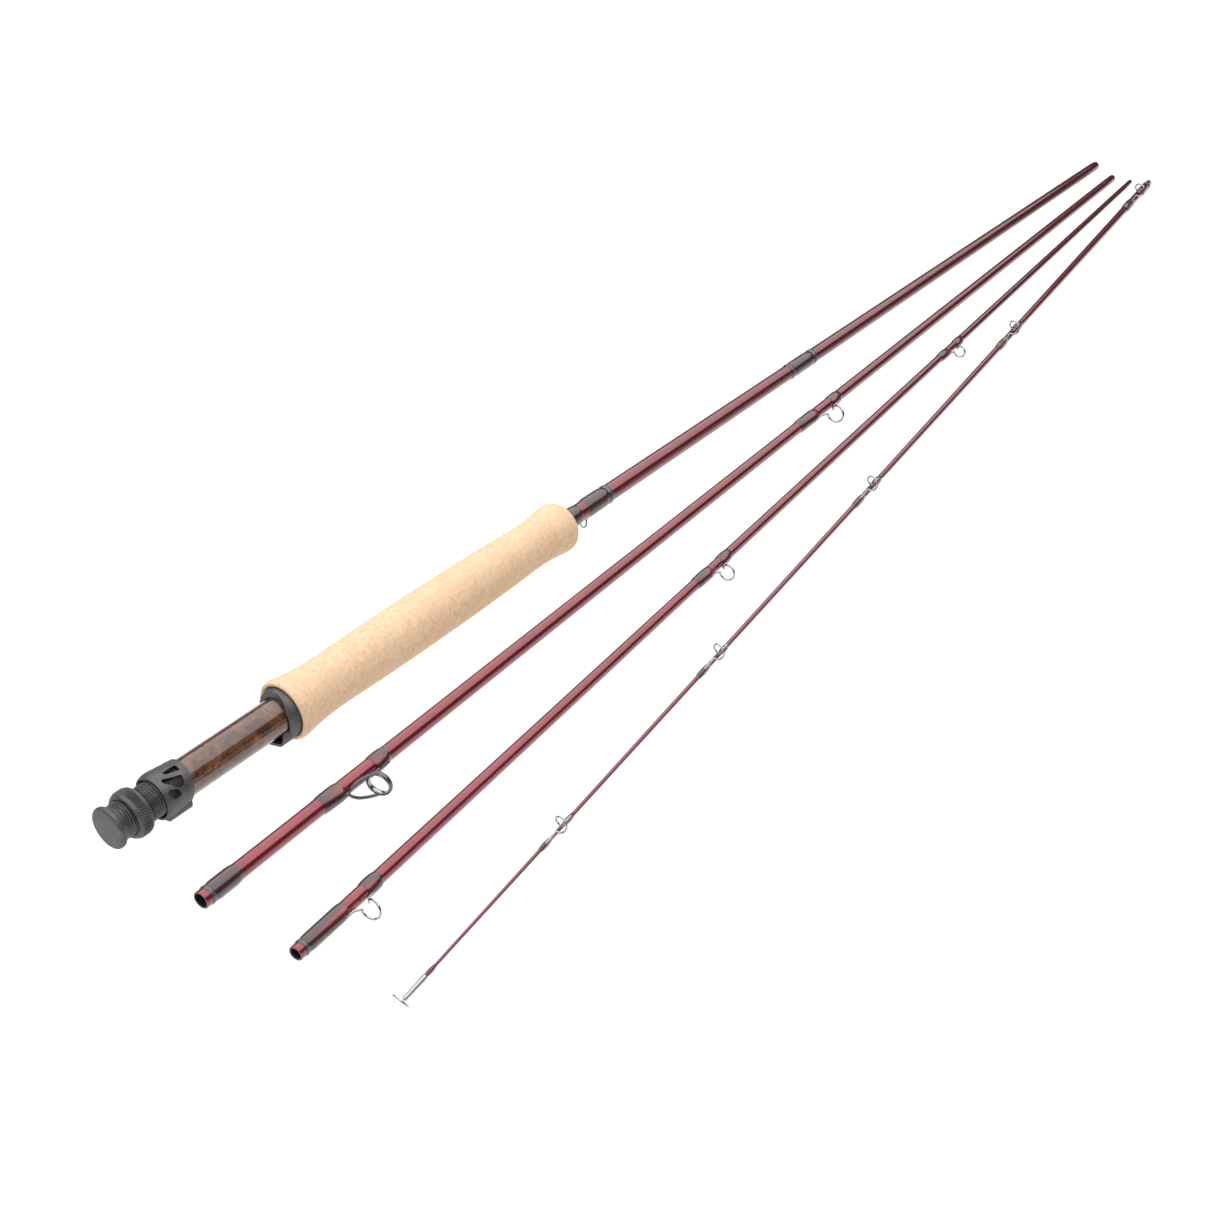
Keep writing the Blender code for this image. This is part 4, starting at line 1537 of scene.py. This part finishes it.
@dataclass
class StrippingGuide:
    """The stripping guide: a leaning ring on two splayed rear legs and one front foot."""

    bench: Bench
    radius_at: Radius
    station: float = 90.6
    height: float = 9.9
    lean: float = -14.0
    outer: float = 5.85
    seat: float = 4.95
    bore: float = 4.0

    def tilted(self, mesh: Mesh) -> Mesh:
        """Lean a ring that was turned about the section's axis, and set it at the guide's place."""
        lean = Matrix.Rotation(math.radians(self.lean), 4, "Y")
        mesh.transform(Matrix.Translation((self.station, 0.0, -self.height)) @ lean)
        return mesh

    def build(self) -> None:
        """Make the frame and the polished ring inside it."""
        frame = turn(
            fillet(
                [
                    (0.95, self.outer - 0.25, 0.3), (0.0, self.outer, 0.5),
                    (-0.95, self.outer - 0.25, 0.3), (-0.95, self.seat, 0.2),
                    (0.95, self.seat, 0.2),
                ],
                closed=True,
            ),
            sides=64,
        )
        insert = turn(
            fillet(
                [
                    (1.15, self.bore + 0.35, 0.3), (0.7, self.seat - 0.03, 0.2),
                    (-0.7, self.seat - 0.03, 0.2), (-1.15, self.bore + 0.35, 0.3),
                    (0.0, self.bore, 0.9),
                ],
                closed=True,
                steps=5,
            ),
            sides=64,
        )
        lie = self.radius_at(80.0) + 0.62
        meshes = [self.tilted(frame)]
        for side in (-1.0, 1.0):
            knots = [
                (71.5, side * 0.25, -lie + 0.2), (77.6, side * 0.3, -lie),
                (79.0, side * 0.8, -lie - 0.05), (80.1, side * 2.2, -4.8), (82.3, side * 3.9, -5.7),
                (85.4, side * 5.0, -7.15), (88.4, side * 5.35, -8.75), (90.6, side * 5.4, -9.9),
            ]
            meshes.append(self.bench.wire(smooth_path(knots, 6), 1.35, GUNMETAL, sides=16))
        front = [
            (89.2, 0.0, -4.75), (90.2, 0.0, -lie - 0.1), (93.0, 0.0, -lie + 0.05),
            (103.0, 0.0, -lie + 0.35),
        ]
        meshes.append(self.bench.wire(smooth_path(front, 6), 1.65, GUNMETAL, sides=16))
        self.bench.place("stripping_guide_frame", join(meshes), GUNMETAL, crease=50.0)
        self.bench.place("stripping_guide_ring", self.tilted(insert), CHROME, crease=50.0)


@dataclass
class TipTop:
    """The tip-top: a stepped tube over the blank's thin end, and the wire loop on its nose."""

    bench: Bench
    loop: float = 7.7
    wire: float = 0.85
    rise: float = 56.0

    def build(self) -> None:
        """Make the tube and the loop."""
        tube = fillet(
            [
                (4.5, 0.0), (5.0, 0.77), (13.5, 0.77), (13.5, 1.2, 0.12), (8.0, 1.08),
                (0.6, 0.95, 0.3), (0.0, 0.55, 0.2), (0.0, 0.0),
            ]
        )
        self.bench.place("tip_top_tube", turn(tube, closed=False, sides=32), CHROME)
        rise = math.radians(self.rise)
        along = Vector((-math.cos(rise), 0.0, -math.sin(rise)))
        centre = Vector((-1.3, 0.0, -0.4)) + along * 3.3
        radius = (self.loop - self.wire) / 2
        path = []
        for i in range(64):
            angle = 2 * math.pi * i / 64
            across = Vector((0, radius * math.sin(angle), 0))
            path.append(centre + along * (radius * math.cos(angle)) + across)
        mesh = self.bench.wire(path, self.wire, CHROME, loop=True)
        self.bench.place("tip_top_ring", mesh, CHROME, crease=60.0)


def build_mid_1(bench: Bench) -> None:
    """Make the first mid section, which carries the stripping guide."""
    blank = Blank("mid1_blank", straight_taper(3.8, 2.175), 2.9, 60.0, far_browning_share=0.9)
    wraps = (
        Wrap("mid1_ferrule_wrap", 4.9, 19.4, 0.42),
        Wrap("stripping_guide_rear_wrap", 65.8, 78.0, 0.36, Foot.HIGH, 0.95),
        Wrap("stripping_guide_front_wrap", 96.5, 105.4, 0.36, Foot.LOW, 0.95),
        Wrap("mid1_snake_rear_wrap", 408.2, 423.7, 0.32, Foot.HIGH),
        Wrap("mid1_snake_front_wrap", 436.2, 444.5, 0.32, Foot.LOW),
    )
    guides = (SnakeGuide("mid1_snake_guide", 430.0, 423.7, 436.2, 8.3, 8.85, 1.05),)
    GuideSection(bench, blank, wraps, (Trim("mid1_ferrule_trim", 2.9, 4.8),), guides).build()
    StrippingGuide(bench, blank.radius_at).build()


def build_mid_2(bench: Bench) -> None:
    """Make the second mid section, whose first guide shares the ferrule's wrap."""
    blank = Blank("mid2_blank", straight_taper(3.2, 1.425), 2.25, 50.0, far_browning_share=1.0)
    wraps = (
        Wrap("mid2_ferrule_wrap", 4.9, 28.2, 0.32, Foot.HIGH, 0.5),
        Wrap("mid2_snake_1_front_wrap", 39.5, 48.8, 0.42, Foot.LOW),
        Wrap("mid2_snake_2_rear_wrap", 274.2, 286.0, 0.30, Foot.HIGH),
        Wrap("mid2_snake_2_front_wrap", 294.1, 302.2, 0.30, Foot.LOW),
        Wrap("mid2_snake_3_rear_wrap", 504.1, 511.9, 0.30, Foot.HIGH),
        Wrap("mid2_snake_3_front_wrap", 520.3, 527.2, 0.30, Foot.LOW),
    )
    guides = (
        SnakeGuide("mid2_snake_guide_1", 34.0, 28.2, 39.5, 8.2, 9.2, 1.0),
        SnakeGuide("mid2_snake_guide_2", 290.0, 286.0, 294.1, 7.4, 7.5, 0.98),
        SnakeGuide("mid2_snake_guide_3", 516.0, 511.9, 520.3, 5.9, 5.8, 0.95),
    )
    GuideSection(bench, blank, wraps, (Trim("mid2_ferrule_trim", 2.9, 4.8),), guides).build()


def tip_radius(station: float) -> float:
    """Give the tip blank's radius, which is even inside the tip-top and then grows."""
    return 0.65 + 1.38 * max(0.0, station - 15.0) / (SECTION_LENGTH - 15.0)


def tip_blank_mesh(start: float = 5.5, socket: float = 1.5, depth: float = 45.0) -> Mesh:
    """Shape the tip blank, whose socket is in its thick far end."""
    end = SECTION_LENGTH
    thick = tip_radius(end)
    outline = [
        (end - depth - socket, 0.0), (end - depth, socket), (end - 0.2, socket),
        (end, socket + 0.12), (end, thick - 0.12), (end - 0.2, thick),
        *[(float(s), tip_radius(s)) for s in range(720, 10, -25)], (start, tip_radius(start)),
        (start, 0.0),
    ]

    def marks(station: float, radius: float) -> dict[str, float]:
        # The socket's inside is marked for the near-black of bare graphite with painted shade.
        # The tip blank takes a fixed share of the browner far colour all along.
        return {"age": 0.55, "bore": 1.0 if 0.0 < radius < tip_radius(station) - 0.3 else 0.0}

    return turn(outline, closed=False, sides=32, marks=marks)


def build_tip(bench: Bench) -> None:
    """Make the tip section, which lies with its tip-top at the near end."""
    bench.place("tip_blank", tip_blank_mesh(), VARNISH)
    spans = (
        ("tip_snake_1", 92.0, 99.8, 109.6, 116.2, 104.7, 5.0),
        ("tip_snake_2", 216.5, 225.5, 236.3, 241.4, 231.0, 5.2),
        ("tip_snake_3", 363.0, 372.5, 383.5, 390.0, 378.0, 5.3),
        ("tip_snake_4", 526.0, 535.5, 547.0, 554.0, 541.5, 5.5),
        ("tip_snake_5", 698.0, 709.0, 720.5, 730.0, 714.8, 5.8),
    )
    wraps = [Wrap("tip_top_wrap", 13.7, 20.3, 0.32, Foot.LOW, 0.2, 32)]
    guides = []
    for number, (name, low, low_face, high_face, high, centre, height) in enumerate(spans, 1):
        far_node = f"{name}_butt_wrap" if number < 5 else "tip_ferrule_wrap"
        wraps.append(Wrap(f"{name}_tip_wrap", low, low_face, 0.35, Foot.HIGH, 0.4, 32))
        wraps.append(Wrap(far_node, high_face, high, 0.35, Foot.LOW, 0.4, 32))
        node = f"tip_snake_guide_{number}"
        guides.append(SnakeGuide(node, centre, low_face, high_face, 7.0, height, 0.88))
    for wrap in wraps:
        bench.place(wrap.node, wrap.mesh(tip_radius), WRAPPING)
    for guide in guides:
        bench.place(guide.node, guide.mesh(bench, tip_radius), CHROME, crease=60.0)
    trim = Trim("tip_ferrule_trim", 730.2, 732.1)
    bench.place(trim.node, trim.mesh(tip_radius), TRIM)
    TipTop(bench).build()


# Studio


@dataclass
class Studio:
    """The floor, the soft light and the camera."""

    fan: Fan
    paint: PaintShop
    camera_place: Colour = (-427.2, -618.2, 639.4)
    heading: float = -49.53
    pitch: float = 35.924
    roll: float = -1.657
    lens: float = 74.135
    softbox: tuple[float, float] = (4.0, 3.4)
    softbox_place: Colour = (0.0, 0.45, 1.25)
    softbox_power: float = 88.0
    surroundings: float = 0.05
    floor_half: float = 6.0

    def build_camera(self) -> None:
        """Set up the camera."""
        data = bpy.data.cameras.new("camera")
        data.sensor_width = 36.0
        data.lens = self.lens
        data.clip_start = 0.01
        camera = bpy.data.objects.new("camera", data)
        heading, pitch, roll = (math.radians(a) for a in (self.heading, self.pitch, self.roll))
        turned = Matrix.Rotation(heading, 4, "Z") @ Matrix.Rotation(math.pi / 2 - pitch, 4, "X")
        place = Matrix.Translation(self.fan.shift + Vector(self.camera_place) * MM)
        camera.matrix_world = place @ turned @ Matrix.Rotation(roll, 4, "Z")
        bpy.context.scene.collection.objects.link(camera)
        bpy.context.scene.camera = camera

    def build_lights(self) -> None:
        """Hang a wide softbox overhead, from the camera's side to well behind the rod."""
        data = bpy.data.lights.new("softbox", "AREA")
        data.shape = "RECTANGLE"
        data.size, data.size_y = self.softbox
        data.energy = self.softbox_power
        light = bpy.data.objects.new("softbox", data)
        light.location = self.softbox_place
        bpy.context.scene.collection.objects.link(light)
        world = bpy.data.worlds.new("surroundings")
        world.use_nodes = True
        background = world.node_tree.nodes["Background"]
        background.inputs["Color"].default_value = (1.0, 1.0, 1.0, 1.0)
        background.inputs["Strength"].default_value = self.surroundings
        bpy.context.scene.world = world

    def build_floor(self) -> None:
        """Lay the floor."""
        mesh = bpy.data.meshes.new("floor")
        half = self.floor_half
        corners = [(-half, -half, 0.0), (half, -half, 0.0), (half, half, 0.0), (-half, half, 0.0)]
        mesh.from_pydata(corners, [], [(0, 1, 2, 3)])
        mesh.materials.append(self.paint.material(StudioFloor("studio_floor")))
        floor = bpy.data.objects.new("floor", mesh)
        bpy.context.scene.collection.objects.link(floor)

    def build(self) -> None:
        """Make the whole studio."""
        self.build_camera()
        self.build_lights()
        self.build_floor()
        bpy.context.scene.view_settings.view_transform = "Standard"


def main() -> None:
    """Build the rod's sections and the studio."""
    logging.basicConfig(level=logging.INFO, format="%(message)s")
    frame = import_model()
    fan = Fan(frame)
    paint = PaintShop()
    wires = wire_tree()
    benches = {
        section: Bench(section, body, fan, paint, wires)
        for section, body in (
            (Section.BUTT, "butt_section"), (Section.MID_1, "mid_section_1"),
            (Section.MID_2, "mid_section_2"), (Section.TIP, "tip_section"),
        )
    }
    ReelSeat(benches[Section.BUTT]).build()
    Grip(benches[Section.BUTT]).build()
    ButtShaft(benches[Section.BUTT]).build()
    build_mid_1(benches[Section.MID_1])
    build_mid_2(benches[Section.MID_2])
    build_tip(benches[Section.TIP])
    Studio(fan, paint).build()


if __name__ == "__main__":
    main()
